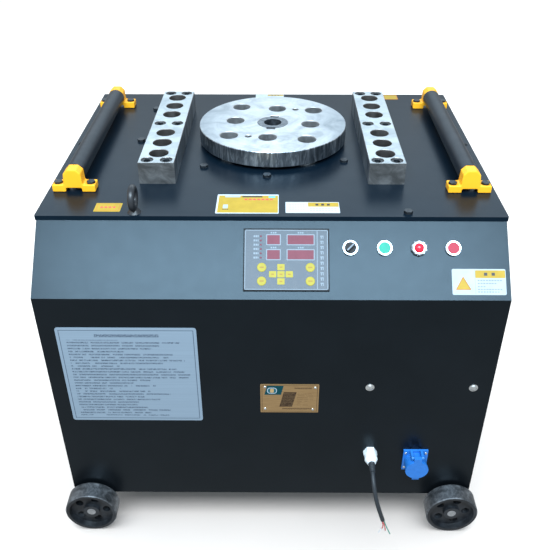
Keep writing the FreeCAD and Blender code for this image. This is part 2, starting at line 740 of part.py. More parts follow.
def dome_screw(shank, length, head, x, y, z, along, flip=False):
    """A round-headed screw on a washer; its head points against the axis, or along it when flipped."""
    turn = {"X": (Vector(0, 1, 0), -90), "Y": (Vector(1, 0, 0), 90), "Z": (Vector(1, 0, 0), 0)}[along]
    angle = turn[1] + (180 if flip else 0)
    washer = rod(head * 0.95, 0, 0, 0, 1)
    cap = doc.addObject("Part::Sphere", "Sphere")
    cap.Radius = head
    trimmed = doc.addObject("Part::Common", "Common")
    trimmed.Base = cap
    trimmed.Tool = rod(head * 0.75, 0, 0, head * 0.66, head)
    lowered = place(trimmed, 0, 0, 1 - head * 0.66)
    body = rod(shank / 2, 0, 0, -length, length)
    return place(union(washer, lowered, body), x, y, z, turn[0], angle)


screws = [dome_screw(DOME_SCREW, 6, 10, x, body_front, dome_level, "Y") for x in DOME_SPOTS]
for y, z in side_screw_spots:
    screws.append(dome_screw(SIDE_SCREW, 5.5, 5, -body_side, y, z, "X"))
    screws.append(dome_screw(SIDE_SCREW, 5.5, 5, body_side, y, z, "X", flip=True))
for x, z in rear_screw_spots:
    screws.append(dome_screw(SIDE_SCREW, 5.5, 5, x, body_back, z, "Y", flip=True))
for x, y in edge_spots:
    screws.append(dome_screw(EDGE_SCREW, 13.5, 5.5, x, y, dim.table_top, "Z"))
node("panel_screws", together(*screws))

# ---------------------------------------------------------------- tooth blocks

screw_radius = dim.cap_shank / 2 + dim.bolt_gap
for label, side in (("left_tooth_block", -1), ("right_tooth_block", 1)):
    block = new_body(label)
    half_width = dim.block_width / 2
    half_length = dim.block_length / 2
    pad(block, rectangle(block, (-half_width, half_width), (-half_length, half_length)), dim.block_height)
    pin_holes = [(0, dim.tooth_pitch * step, dim.pin_hole / 2) for step in (-3, -2, -1, 1, 2, 3)]
    pairs = [(pair * dim.screw_spread / 2, end * dim.screw_reach) for pair in (-1, 1) for end in (-1, 0, 1)]
    through = [(x, y, screw_radius) for x, y in pairs]
    pocket(block, circles(block, pin_holes + through, dim.block_height), dim.block_height)
    sinks = [(x, y, dim.cap_diameter / 2 + 1) for x, y in pairs]
    pocket(block, circles(block, sinks, dim.block_height), dim.cap_sink)
    soften(block, "Chamfer", 0.8, at_level(dim.block_height))
    place(block, side * dim.block_x, block_y, dim.table_top)

cap_seat = block_top - dim.cap_sink
cap_length = cap_seat - plate_under - 9
cap_screws = []
for x, y in block_spots:
    head = minus(rod(dim.cap_diameter / 2, x, y, cap_seat, dim.cap_height),
                 hexagon(14, x, y, cap_seat + dim.cap_height - 8, 8))
    cap_screws.append(union(head, rod(dim.cap_shank / 2, x, y, cap_seat - cap_length, cap_length)))
node("block_screws", together(*cap_screws))

# ---------------------------------------------------------------- bending disc and spindle

disc = new_body("bending_disc")
disc_radius = dim.disc_diameter / 2
seat_radius = dim.seat_diameter / 2
pad(disc, circles(disc, [(0, 0, disc_radius)]), dim.disc_thick)
grid = [(column * dim.pin_pitch, row * dim.pin_pitch, dim.pin_hole / 2)
        for column in (-1, 0, 1) for row in (-1, 0, 1) if (column, row) != (0, 0)]
dowels = [(side * dim.pin_pitch / 2, side * dim.pin_pitch, dim.dowel_hole / 2) for side in (-1, 1)]
pocket(disc, circles(disc, grid + dowels + [(0, 0, seat_radius)], dim.disc_thick), dim.disc_thick)
key_outer = seat_radius + dim.key_depth / 2
key_inner = seat_radius - dim.key_depth / 2
key_span = (-dim.key_width / 2, dim.key_width / 2)
pocket(disc, rectangle(disc, key_span, (-key_outer, key_outer), dim.disc_thick), dim.disc_thick)
soften(disc, "Chamfer", dim.disc_bevel, at_level(0, dim.disc_thick))
place(disc, 0, spindle_y, disc_under, Vector(0, 0, 1), dim.disc_turn)

spindle = new_body("spindle")
bearing_under = plate_under - 12
bearing_over = bearing_under + SPINDLE_TOP_BEARING[2]
foot_bearing_under = case_under + 10
foot_bearing_over = foot_bearing_under + SPINDLE_FOOT_BEARING[2]
TOP_RADIUS = SPINDLE_TOP_BEARING[0]
FOOT_RADIUS = SPINDLE_FOOT_BEARING[0]
GEAR_SEAT = 39
NECK = 35
revolve(spindle, [
    (dim.centre_bore / 2, disc_top),
    (seat_radius, disc_top),
    (seat_radius, disc_under),
    (TOP_RADIUS + 5, disc_under),
    (TOP_RADIUS + 5, bearing_over),
    (TOP_RADIUS, bearing_over),
    (TOP_RADIUS, bull_top),
    (GEAR_SEAT, bull_top),
    (GEAR_SEAT, bull_under),
    (NECK, bull_under),
    (NECK, foot_bearing_over),
    (FOOT_RADIUS, foot_bearing_over),
    (FOOT_RADIUS, foot_bearing_under),
    (0, foot_bearing_under),
    (0, disc_top - dim.centre_depth),
    (dim.centre_bore / 2, disc_top - dim.centre_depth),
])
for low, high in ((key_inner, key_outer), (-key_outer, -key_inner)):
    pocket(spindle, rectangle(spindle, key_span, (low, high), disc_top), dim.disc_thick)
place(spindle, 0, spindle_y, 0, Vector(0, 0, 1), dim.disc_turn)

keys = [box(key_span, span, (disc_under, disc_top - 1))
        for span in ((key_inner, key_outer), (-key_outer, -key_inner))]
node("drive_keys", place(together(*keys), 0, spindle_y, 0, Vector(0, 0, 1), dim.disc_turn))

# ---------------------------------------------------------------- gear train

bull = gear_shape(dim.bull_teeth, dim.bull_module, bull_under, bull_top, number(dim.second_way))
bull_root = dim.bull_module * (dim.bull_teeth / 2 - 1.25)
WEB = 12
recess = disc_shape(bull_root - 12, bull_top - WEB, bull_top, GEAR_SEAT + 22)
bull = bull.cut(recess).cut(disc_shape(bull_root - 12, bull_under, bull_under + WEB, GEAR_SEAT + 22))
bull = bull.cut(disc_shape(Size(GEAR_SEAT, "0"), bull_under, bull_top))
coded("bull_gear", bull, 0, spindle_y)


def gear_shaft(label, bearing, teeth, module, span, tooth_way, seat, seat_radius, x, y, bottom=None):
    """A shaft with its own pinion and a seat for a gear or pulley, running in a bearing at each end."""
    journal = bearing[0] - number(dim.running_fit)
    shoulder = bearing[0] + 3
    foot = bottom if bottom is not None else case_under + 10
    top = plate_under - 12 + bearing[2]
    shape = turned([
        (0, foot),
        (journal, foot),
        (journal, case_under + 10 + bearing[2]),
        (seat_radius, case_under + 10 + bearing[2]),
        (seat_radius, seat),
        (shoulder, seat),
        (shoulder, plate_under - 12),
        (journal, plate_under - 12),
        (journal, top),
        (0, top),
    ])
    pinion = gear_shape(teeth, module, span[0], span[1], tooth_way)
    coded(label, shape.fuse(pinion), x, y)


SECOND_SEAT = 26
FIRST_SEAT = 18.5
gear_shaft("second_shaft", SECOND_BEARING, dim.bull_pinion_teeth, dim.bull_module, (bull_under, bull_top),
           facing_gap(dim.second_way, dim.bull_pinion_teeth), second_top, SECOND_SEAT, second_x, second_y)
second = gear_shape(dim.second_teeth, dim.second_module, second_under, second_top, number(dim.first_way))
second = second.cut(disc_shape(Size(SECOND_SEAT, "0"), second_under, second_top))
coded("second_gear", second, second_x, second_y)

gear_shaft("first_shaft", FIRST_BEARING, dim.second_pinion_teeth, dim.second_module, (second_under, second_top),
           facing_gap(dim.first_way, dim.second_pinion_teeth), first_top, FIRST_SEAT, first_x, first_y)
first = gear_shape(dim.first_teeth, dim.first_module, first_under, first_top, number(dim.input_way))
first = first.cut(disc_shape(Size(FIRST_SEAT, "0"), first_under, first_top))
coded("first_gear", first, first_x, first_y)

INPUT_SEAT = INPUT_BEARING[0] - 0.05
gear_shaft("input_shaft", INPUT_BEARING, dim.first_pinion_teeth, dim.first_module, (first_under, first_top),
           facing_gap(dim.input_way, dim.first_pinion_teeth), case_under + 10 + INPUT_BEARING[2],
           INPUT_BEARING[0] + 3, input_x, input_y, bottom=dim.pulley_level)

# ---------------------------------------------------------------- gearbox housing and bearings

SHAFTS = [
    (second_x, second_y, SECOND_BEARING),
    (first_x, first_y, FIRST_BEARING),
    (input_x, input_y, INPUT_BEARING),
]
plate_x = (-dim.top_plate_left, dim.top_plate_right)
plate_y = (spindle_y - dim.top_plate_front, spindle_y + dim.top_plate_rear)
upper_seats = [(0, spindle_y, SPINDLE_TOP_BEARING)] + SHAFTS
lower_seats = [(0, spindle_y, SPINDLE_FOOT_BEARING)] + SHAFTS
bosses = [rod(seat[1] + dim.boss_wall, x, y, plate_under - 12, 12 + dim.top_plate_thick / 2)
          for x, y, seat in upper_seats]
top_tools = [rod(seat[1], x, y, plate_under - 13, seat[2] + 1) for x, y, seat in upper_seats]
top_tools.append(rod(50, 0, spindle_y, plate_under, dim.top_plate_thick + 1))
top_tools += [rod(dim.cap_shank / 2 + 0.1, x, y, plate_under + 8, 30) for x, y in block_spots]
top_tools += [rod(dim.table_bolt / 2 + 0.1, x, y, plate_under + 8, 30) for x, y in gearbox_spots]
flange_x = (-dim.case_left - dim.case_flange, dim.case_right + dim.case_flange)
flange_y = (spindle_y - dim.case_front - dim.case_flange, spindle_y + dim.case_rear + dim.case_flange)
bolt_inset = dim.case_flange / 2
case_bolt_spots = [(x, y) for x in (flange_x[0] + bolt_inset, flange_x[1] - bolt_inset)
                   for y in (flange_y[0] + bolt_inset, spindle_y + 30, flange_y[1] - bolt_inset)]
case_bolt_spots += [(x, y) for x in (-130, 60) for y in (flange_y[0] + bolt_inset, flange_y[1] - bolt_inset)]
top_tools += [rod(dim.small_bolt / 2 + 0.1, x, y, plate_under - 1, 15) for x, y in case_bolt_spots]
node("gearbox_top", minus(union(box(plate_x, plate_y, (plate_under, table_under)), *bosses), *top_tools))

outer_x = (-dim.case_left, dim.case_right)
outer_y = (spindle_y - dim.case_front, spindle_y + dim.case_rear)
case_wall = dim.case_wall
cavity = box((outer_x[0] + case_wall, outer_x[1] - case_wall), (outer_y[0] + case_wall, outer_y[1] - case_wall),
             (case_under + case_wall, plate_under + 1))
shell = minus(union(box(outer_x, outer_y, (case_under, plate_under)),
                    box(flange_x, flange_y, (plate_under - dim.case_flange_thick, plate_under))), cavity)
seats = [rod(seat[1] + dim.boss_wall, x, y, case_under + case_wall / 2, seat[2] + case_wall / 2)
         for x, y, seat in lower_seats]
case_tools = [rod(seat[1], x, y, case_under + 10, seat[2] + 10) for x, y, seat in lower_seats]
case_tools.append(rod(20, input_x, input_y, case_under - 1, 20))
case_tools += [rod(dim.small_bolt / 2 + dim.bolt_gap, x, y, plate_under - 20, 30) for x, y in case_bolt_spots]
node("gearbox_case", minus(union(shell, *seats), *case_tools))

bearings = []
for x, y, seat in upper_seats:
    bearings.append(tube(seat[1], seat[0], x, y, plate_under - 12, seat[2]))
for x, y, seat in lower_seats:
    bearings.append(tube(seat[1], seat[0], x, y, case_under + 10, seat[2]))

# ---------------------------------------------------------------- pulleys and belts

groove_slope = math.tan(math.radians(19))
RIM = 3.3
GROOVE_DEPTH = 9
belt_levels = [dim.pulley_level + dim.pulley_height / 2 + dim.belt_pitch * step for step in (-1, 0, 1)]


def pulley(label, pitch, bore, web, x, y):
    """A three-groove V-belt pulley, dished below when it is large."""
    rim = number(pitch) + RIM
    floor = number(pitch) - GROOVE_DEPTH
    wide = number(dim.belt_width) / 2 + number(dim.belt_gap) + 0.2
    narrow = wide - (RIM + GROOVE_DEPTH) * groove_slope
    low = number(dim.pulley_level)
    high = low + number(dim.pulley_height)
    points = [(bore, low), (rim, low)]
    for level in belt_levels:
        middle = number(level)
        points += [(rim, middle - wide), (floor, middle - narrow)]
        points += [(floor, middle + narrow), (rim, middle + wide)]
    points += [(rim, high), (bore, high)]
    shape = turned(points)
    if web:
        for span in ((low, low + 18), (high - 18, high)):
            ring = Part.makeCylinder(floor - 10, span[1] - span[0], Vector(0, 0, span[0]))
            hub = Part.makeCylinder(bore + 16, span[1] - span[0], Vector(0, 0, span[0]))
            shape = shape.cut(ring.cut(hub))
    coded(label, shape, x, y)


MOTOR_SHAFT = MOTOR_BEARING[0] - 0.05
pulley("input_pulley", dim.input_pulley_radius, INPUT_SEAT, True, input_x, input_y)
pulley("motor_pulley", dim.motor_pulley_radius, MOTOR_SHAFT, False, motor_x, motor_y)


def belt_loop(offset):
    """The closed line of a belt round both pulleys, at a distance outside their pitch circles."""
    big = number(dim.input_pulley_radius) + offset
    small = number(dim.motor_pulley_radius) + offset
    reach = number(dim.motor_reach)
    lean = math.asin((big - small) / reach)
    up = Vector(math.sin(lean), math.cos(lean), 0)
    down = Vector(math.sin(lean), -math.cos(lean), 0)
    far = Vector(reach, 0, 0)
    return Part.Wire([
        Part.Arc(down * big, Vector(-big, 0, 0), up * big).toShape(),
        Part.LineSegment(up * big, far + up * small).toShape(),
        Part.Arc(far + up * small, Vector(reach + small, 0, 0), far + down * small).toShape(),
        Part.LineSegment(far + down * small, down * big).toShape(),
    ])


def belt(level):
    """One V-belt: a ring lofted from its wide outer face to its narrow inner face."""
    top = 2.75
    outer_half = number(dim.belt_width) / 2
    inner_half = outer_half - number(dim.belt_height) * groove_slope
    loops = []
    for offset, half in ((top, outer_half), (top - number(dim.belt_height), inner_half)):
        heights = [number(level) + end * half for end in (-1, 1)]
        loops.append([belt_loop(offset).translate(Vector(0, 0, height)) for height in heights])
    outer = Part.makeRuledSurface(loops[0][0], loops[0][1])
    inner = Part.makeRuledSurface(loops[1][0], loops[1][1])
    lower = Part.makeRuledSurface(loops[0][0], loops[1][0])
    upper = Part.makeRuledSurface(loops[0][1], loops[1][1])
    shell = Part.makeShell(outer.Faces + inner.Faces + lower.Faces + upper.Faces)
    shell.sewShape()
    solid = Part.makeSolid(shell)
    if solid.Volume < 0:
        solid.reverse()
    return solid


coded("v_belts", Part.makeCompound([belt(level) for level in belt_levels]), input_x, input_y)

# ---------------------------------------------------------------- motor

plate_low = dim.beam_level
flange_low = plate_low - dim.motor_flange_thick
housing = new_body("motor_housing")
stator = dim.rotor_radius + dim.stator_gap
FAN_OUTER, FAN_WIDTH = FAN_BEARING[1:]
revolve(housing, [
    (FAN_OUTER, dim.motor_bottom),
    (dim.motor_shell, dim.motor_bottom),
    (dim.motor_shell, flange_low),
    (stator, flange_low),
    (stator, dim.motor_bottom + FAN_WIDTH),
    (FAN_OUTER, dim.motor_bottom + FAN_WIDTH),
])
fin_low = dim.motor_bottom + 26
fin = pad(housing, rectangle(housing, (dim.motor_shell - 1, dim.motor_fins), (-1.5, 1.5), fin_low),
          flange_low - fin_low - 4)
round_pattern(housing, fin, 28)
place(housing, motor_x, motor_y, 0)

node("motor_flange", minus(rod(dim.motor_flange, motor_x, motor_y, flange_low, dim.motor_flange_thick),
                           rod(MOTOR_BEARING[1], motor_x, motor_y, flange_low, dim.motor_flange_thick)))
bearings.append(tube(MOTOR_BEARING[1], MOTOR_BEARING[0], motor_x, motor_y, flange_low, MOTOR_BEARING[2]))
bearings.append(tube(FAN_BEARING[1], FAN_BEARING[0], motor_x, motor_y, dim.motor_bottom, FAN_WIDTH))
node("shaft_bearings", together(*bearings))

COWL_WALL = 1.5
cowl_low = dim.motor_bottom - 46
cowl_inner = dim.motor_shell + 0.1
cowl = union(tube(cowl_inner + COWL_WALL, cowl_inner, motor_x, motor_y, cowl_low, 66),
             rod(cowl_inner + COWL_WALL, motor_x, motor_y, cowl_low, COWL_WALL))
grille = [tube(radius + 2.5, radius, motor_x, motor_y, cowl_low - 1, 4) for radius in (20, 30, 40, 50, 60)]
spokes = [box((motor_x - 70, motor_x + 70), (motor_y - 3, motor_y + 3), (cowl_low, cowl_low + COWL_WALL)),
          box((motor_x - 3, motor_x + 3), (motor_y - 70, motor_y + 70), (cowl_low, cowl_low + COWL_WALL))]
node("fan_cowl", union(minus(cowl, *grille), *spokes))

rotor_low = dim.motor_bottom + 26
rotor_high = flange_low - 8
shaft_foot = dim.motor_bottom - 34
fan_level = shaft_foot + 2
rotor = turned([
    (0, shaft_foot),
    (FAN_BEARING[0] - 0.05, shaft_foot),
    (FAN_BEARING[0] - 0.05, rotor_low - 9),
    (20, rotor_low - 9),
    (20, rotor_low),
    (dim.rotor_radius, rotor_low),
    (dim.rotor_radius, rotor_high),
    (20, rotor_high),
    (20, flange_low - 2),
    (MOTOR_SHAFT, flange_low - 2),
    (MOTOR_SHAFT, dim.pulley_level + dim.pulley_height),
    (0, dim.pulley_level + dim.pulley_height),
])
fan_disc = Part.makeCylinder(70, 3, Vector(0, 0, number(fan_level)))
FAN_BLADES = 9
for index in range(FAN_BLADES):
    blade = Part.makeBox(54, 3, 22, Vector(16, -1.5, number(fan_level) + 3))
    blade.rotate(Vector(), Vector(0, 0, 1), 360 * index / FAN_BLADES)
    fan_disc = fan_disc.fuse(blade)
coded("motor_rotor", rotor.fuse(fan_disc), motor_x, motor_y)

box_x = (motor_x + dim.motor_fins, motor_x + dim.motor_fins + 60)
node("terminal_box", box(box_x, (motor_y - 45, motor_y + 45), (flange_low - 170, flange_low - 70)))

motor_plate = new_body("motor_plate")
half_plate = rail_inner + leg - 2
pad(motor_plate, rectangle(motor_plate, (-half_plate, half_plate), (-130, 130)),
    dim.motor_plate_thick)
motor_bolt_spots = [(side * (dim.motor_flange - 22), end * 40) for side in (-1, 1) for end in (-1, 1)]
rail_bolt_spots = [(side * (rail_inner + leg / 2), end * 95) for side in (-1, 1) for end in (-1, 1)]
bolt_radius = dim.small_bolt / 2 + dim.bolt_gap
plate_holes = [(0, 0, MOTOR_BEARING[1])]
plate_holes += [(x, y, bolt_radius) for x, y in motor_bolt_spots + rail_bolt_spots]
pocket(motor_plate, circles(motor_plate, plate_holes, dim.motor_plate_thick), dim.motor_plate_thick)
place(motor_plate, motor_x, motor_y, plate_low)

machine_bolts = [hex_bolt(dim.small_bolt, 24, x, y, plate_under - dim.case_flange_thick, down=True)
                 for x, y in case_bolt_spots]
plate_top = plate_low + dim.motor_plate_thick
machine_bolts += [hex_bolt(dim.small_bolt, dim.motor_plate_thick, motor_x + x, motor_y + y, plate_top)
                  for x, y in motor_bolt_spots + rail_bolt_spots]
node("machine_bolts", together(*machine_bolts))

table_bolts = [hex_bolt(dim.table_bolt, dim.table_thick + 11, x, y, dim.table_top) for x, y in gearbox_spots]
table_bolts.append(hex_bolt(dim.table_bolt, dim.table_thick + FLAT_BAR, *front_spots[1], dim.table_top))
node("table_bolts", together(*table_bolts))

# ---------------------------------------------------------------- rollers

half_bracket = dim.bracket_width / 2
half_hump = dim.hump_width / 2
half_notch = dim.notch_width / 2
HUMP_CORNER = 9
HUMP_TAPER = 1.5
bracket_profile = [
    (-half_bracket, 0),
    (-half_notch, 0),
    (-half_notch, dim.notch_height),
    (half_notch, dim.notch_height),
    (half_notch, 0),
    (half_bracket, 0),
    (half_bracket, dim.bracket_foot),
    (half_hump, dim.bracket_foot),
    (half_hump - HUMP_TAPER, dim.hump_height - HUMP_CORNER),
    (half_hump - HUMP_TAPER - HUMP_CORNER, dim.hump_height),
    (HUMP_TAPER + HUMP_CORNER - half_hump, dim.hump_height),
    (HUMP_TAPER - half_hump, dim.hump_height - HUMP_CORNER),
    (-half_hump, dim.bracket_foot),
    (-half_bracket, dim.bracket_foot),
]


def lengthwise(edge):
    span = edge.BoundBox
    return span.YLength > 1 and span.XLength < 0.001 and span.ZLength < 0.001


BOLT_SEAT_SINK = 3
AXLE_COVER = 8
CASTING_RADIUS = 2.5


def bracket(x, y, outer_is_front):
    """A cast roller bracket whose front face is at y: relief below, bolt seats and a blind axle hole."""
    casting = doc.addObject("PartDesign::Body", "Body")
    pad(casting, outline(casting, bracket_profile, role="XZ_Plane"), dim.bracket_deep, backwards=True)
    soften(casting, "Fillet", CASTING_RADIUS, lengthwise)
    tools = []
    for side in (-1, 1):
        bolt_at = (side * dim.bracket_bolt_x, dim.bracket_deep / 2)
        tools.append(rod(bolt_radius, *bolt_at, -1, dim.bracket_foot + 2))
        tools.append(rod(dim.small_bolt * 0.8 + 1.6, *bolt_at, dim.bracket_foot - BOLT_SEAT_SINK, 5))
    hole_start = AXLE_COVER if outer_is_front else -1
    tools.append(rod(dim.axle_diameter / 2 + 0.1, 0, hole_start, dim.roller_height,
                     dim.bracket_deep - AXLE_COVER + 1, "Y"))
    return place(minus(casting, *tools), x, y, dim.table_top)


bracket_fronts = (dim.roller_front - dim.roller_play - dim.bracket_deep, roller_back + dim.roller_play)
roller_spots = (-roller_x, roller_x)
node("roller_brackets", together(*[bracket(x, y, y is bracket_fronts[0])
                                   for x in roller_spots for y in bracket_fronts]))
seat_height = dim.bracket_foot - BOLT_SEAT_SINK
node("bracket_bolts", together(*[hex_bolt(dim.small_bolt, seat_height + dim.table_thick, x, y,
                                          dim.table_top + seat_height)
                                 for x, y in bracket_spots]))
axle_front = bracket_fronts[0] + AXLE_COVER + 1
axle_length = bracket_fronts[1] - bracket_fronts[0] + dim.bracket_deep - 2 * (AXLE_COVER + 1)
node("roller_axles", together(*[rod(dim.axle_diameter / 2, x, axle_front, roller_axis, axle_length, "Y")
                                for x in roller_spots]))
for label, x in (("left_roller", -roller_x), ("right_roller", roller_x)):
    node(label, tube(dim.roller_diameter / 2, dim.axle_diameter / 2 + dim.running_fit,
                     x, dim.roller_front, roller_axis, dim.roller_length, "Y"))

# ---------------------------------------------------------------- lifting eye

eye_x, eye_y = front_spots[0]
eye_centre = dim.table_top + dim.eye_collar_height + dim.eye_radius + 2
ring = doc.addObject("Part::Torus", "Torus")
tie(ring, Radius1=dim.eye_radius, Radius2=dim.eye_bar / 2)
place(ring, eye_x, eye_y, eye_centre, Vector(0, 1, 0), 90)
eye_shank = dim.table_thick + FLAT_BAR
collar = cone(dim.eye_collar / 2, dim.eye_bar / 2, eye_x, eye_y, dim.table_top, dim.eye_collar_height)
eye = union(ring, collar,
            rod(dim.table_bolt / 2, eye_x, eye_y, dim.table_top - eye_shank, eye_shank + 3))
node("lifting_eyebolt", eye)

# ---------------------------------------------------------------- controls on the slope

face_x = (dim.controller_x - dim.controller_width / 2, dim.controller_x + dim.controller_width / 2)
face_y = (-dim.controller_drop - dim.controller_height / 2, -dim.controller_drop + dim.controller_height / 2)
RIM_HEIGHT = 5
RIM_WIDTH = 2
FACE_HEIGHT = 3.5
rim = minus(box(face_x, face_y, (0, RIM_HEIGHT)),
            box((face_x[0] + RIM_WIDTH, face_x[1] - RIM_WIDTH), (face_y[0] + RIM_WIDTH, face_y[1] - RIM_WIDTH),
                (0, RIM_HEIGHT)))
case = minus(box(controller_span_x, controller_span_y, (-CONTROLLER_DEEP, 0)),
             box((controller_span_x[0] + 3, controller_span_x[1] - 3),
                 (controller_span_y[0] + 3, controller_span_y[1] - 3), (3 - CONTROLLER_DEEP, 0)))
node("controller_case", on_slope(union(rim, case)))
node("controller_face", on_slope(box((face_x[0] + RIM_WIDTH, face_x[1] - RIM_WIDTH),
                                     (face_y[0] + RIM_WIDTH, face_y[1] - RIM_WIDTH),
                                     (0, FACE_HEIGHT))))

BARREL_DEEP = 40
BARREL_WALL = 0.7
barrel = dim.barrel_diameter / 2
bezel = dim.bezel_diameter / 2


plunger = barrel - 1
cap_well = dim.cap_radius + 0.4
WELL_FLOOR = 1


def on_switch(radius, x, low, high):
    """A round pad on a switch's axis, between two heights over the slope."""
    return rod(radius, x, -dim.switch_drop, low, high - low)


def switch_bezel(x):
    """The fixed ring and barrel of a switch."""
    ring = tube(bezel, cap_well, x, -dim.switch_drop, 0, dim.bezel_height)
    washer = tube(bezel, barrel - BARREL_WALL, x, -dim.switch_drop, 0, WELL_FLOOR)
    sleeve = tube(barrel, barrel - BARREL_WALL, x, -dim.switch_drop, -BARREL_DEEP, BARREL_DEEP)
    floor = rod(barrel, x, -dim.switch_drop, -BARREL_DEEP - 3, 3)
    return union(ring, washer, sleeve, floor)


node("switch_bezels", on_slope(together(*[switch_bezel(x) for x in switch_spots])))
PLUNGER_DEEP = 20
CAP_LEVEL = 5.4
selector_x, start_x, lamp_x, stop_x = switch_spots
dial_top = dim.bezel_height - 1
dial = union(rod(plunger, 0, 0, -PLUNGER_DEEP, dial_top + PLUNGER_DEEP),
             rod(dim.cap_radius, 0, 0, dial_top - 3, 3))
HANDLE = (5.5, 21, 9)
handle = box((-HANDLE[0] / 2, HANDLE[0] / 2), (-HANDLE[1] / 2, HANDLE[1] / 2),
             (dim.bezel_height - 2, dim.bezel_height + HANDLE[2]))
knob = place(union(dial, handle), selector_x, -dim.switch_drop, 0, Vector(0, 0, 1), -45)
node("selector_knob", on_slope(knob))
for label, x in (("start_button", start_x), ("stop_button", stop_x)):
    node(label, on_slope(union(on_switch(plunger, x, -PLUNGER_DEEP, dim.bezel_height),
                               on_switch(dim.cap_radius, x, CAP_LEVEL, dim.bezel_height + 0.5))))
dome = doc.addObject("Part::Sphere", "Sphere")
tie(dome, Radius=plunger)
place(dome, lamp_x, -dim.switch_drop, dim.bezel_height)
node("power_lamp", on_slope(union(dome, on_switch(plunger, lamp_x, -PLUNGER_DEEP, dim.bezel_height),
                                  on_switch(dim.cap_radius, lamp_x, WELL_FLOOR + 0.1, dim.bezel_height))))

# ---------------------------------------------------------------- plates on the front

for label, x, level, width, height, thick in (
        ("instruction_plate", dim.plate_x, dim.plate_level, dim.plate_width, dim.plate_height, 1),
        ("rating_plate", dim.badge_x, dim.badge_level, dim.badge_width, dim.badge_height, 1.2)):
    plate = new_body(label)
    pad(plate, rectangle(plate, (-width / 2, width / 2), (-height / 2, height / 2), role="XZ_Plane"), thick)
    corner = 6 if label == "instruction_plate" else 1.5
    soften(plate, "Fillet", corner, lambda edge: edge.BoundBox.YLength > 0.5)
    place(plate, x, body_front, level)

# ---------------------------------------------------------------- cable gland and power cable

gland_x, gland_z = dim.gland_x, dim.gland_level
gland_tip = body_front - dim.gland_reach
gland = union(
    hexagon(27, gland_x, inner_front, gland_z, 6, "Y"),
    rod(10, gland_x, body_front - 1, gland_z, 8, "Y"),
    hexagon(27, gland_x, body_front - 12, gland_z, 12, "Y"),
    rod(14.5, gland_x, body_front - 26, gland_z, 14, "Y"),
    cone(9, 14.5, gland_x, gland_tip, gland_z, dim.gland_reach - 26, "Y"),
)
node("cable_gland", gland)

# the power cable's route, chosen by hand from the gland's mouth, and its cores past the end of the sheath
CABLE_ROUTE = [
    (0, 0, 0),
    (0, -19, 0),
    (0, -38, -7),
    (2, -53, -21),
    (6, -63, -41),
    (12, -67, -64),
    (19, -68, -87),
    (26, -67, -110),
]
WIRE_ENDS = [(-5, 6, -52), (10, 4, -42), (22, 5, -56)]


def swept_tube(route, diameter):
    """A tube along straight runs joined by tangent arcs; also gives the arcs' radii."""
    points = [Vector(*point) for point in route]
    edges = []
    radii = []
    start = points[0]
    for before, corner, after in zip(points, points[1:], points[2:]):
        back = (before - corner).normalize()
        ahead = (after - corner).normalize()
        turn = math.pi - back.getAngle(ahead)
        shorter = min((before - corner).Length, (after - corner).Length)
        reach = 0.45 * shorter
        radius = reach / math.tan(turn / 2)
        entry = corner + back * reach
        leave = corner + ahead * reach
        inward = (back + ahead).normalize()
        middle = corner + inward * (radius / math.cos(turn / 2) - radius)
        edges.append(Part.LineSegment(start, entry).toShape())
        edges.append(Part.Arc(entry, middle, leave).toShape())
        start = leave
        radii.append(radius)
    edges.append(Part.LineSegment(start, points[-1]).toShape())
    path = Part.Wire(edges)
    ring = Part.Wire(Part.makeCircle(diameter / 2, points[0], points[1] - points[0]))
    solid = path.makePipeShell([ring], True, True)
    expected = math.pi * diameter ** 2 / 4 * path.Length
    if abs(solid.Volume - expected) > 0.01 * expected:
        raise RuntimeError("the swept tube's volume is wrong")
    return solid, radii, path.Length


gland_mouth = Vector(number(gland_x), number(gland_tip), number(gland_z))
cable_route = [tuple(gland_mouth + Vector(*step)) for step in CABLE_ROUTE]
cable, radii, cable_length = swept_tube(cable_route, number(dim.cord_diameter))
print("power cable", round(cable_length, 1), "long, arc radii", [round(radius, 1) for radius in radii])
coded("power_cable", cable)

sheath_end = Vector(*cable_route[-1])
cable_way = (sheath_end - Vector(*cable_route[-2])).normalize()
sideways = cable_way.cross(Vector(0, 1, 0)).normalize()
wires = []
for index, (east, back, down) in enumerate(WIRE_ENDS):
    start = sheath_end + sideways * (index - 1) * 2.6
    middle = start + cable_way * 24
    finish = sheath_end + Vector(east, back, down)
    wire, *_ = swept_tube([tuple(start), tuple(middle), tuple(finish)],
                                               number(dim.wire_diameter))
    wires.append(wire)
coded("cable_wires", Part.makeCompound(wires))

# ---------------------------------------------------------------- socket

socket_x, socket_z = dim.socket_x, dim.socket_level
half_flange = dim.socket_flange / 2
FLANGE = 5
sleeve_front = body_front - dim.socket_reach
flange_front = body_front - FLANGE
SLEEVE_WALL = 3.5
hinge_level = socket_z + dim.socket_radius + 7
hinge_y = sleeve_front + 3
LUG = 5
lugs = []
for low in (-14, 9):
    lug_x = (socket_x + low, socket_x + low + LUG)
    lug_z = (socket_z + dim.socket_radius - 4, hinge_level + 2)
    block = box(lug_x, (sleeve_front + 1, flange_front + 1), lug_z)
    lugs.append(union(block, rod(4, socket_x + low, hinge_y, hinge_level, LUG, "X")))
socket_solid = union(
    box((socket_x - half_flange, socket_x + half_flange), (flange_front, body_front),
        (socket_z - half_flange - 3, socket_z + half_flange + 3)),
    rod(dim.socket_radius, socket_x, sleeve_front, socket_z, dim.socket_reach, "Y"),
    rod(21, socket_x, body_front - 1, socket_z, 28, "Y"), *lugs)
socket_tools = [rod(dim.socket_radius - SLEEVE_WALL, socket_x, sleeve_front - 1, socket_z, 23, "Y"),
                rod(1.6, socket_x - 20, hinge_y, hinge_level, 40, "X")]
socket_tools += [rod(2.4, socket_x + x, sleeve_front, socket_z + z, 45, "Y")
                 for x, z in ((-9.5, -3), (9.5, -3), (0, 10))]
node("socket_body", minus(socket_solid, *socket_tools))

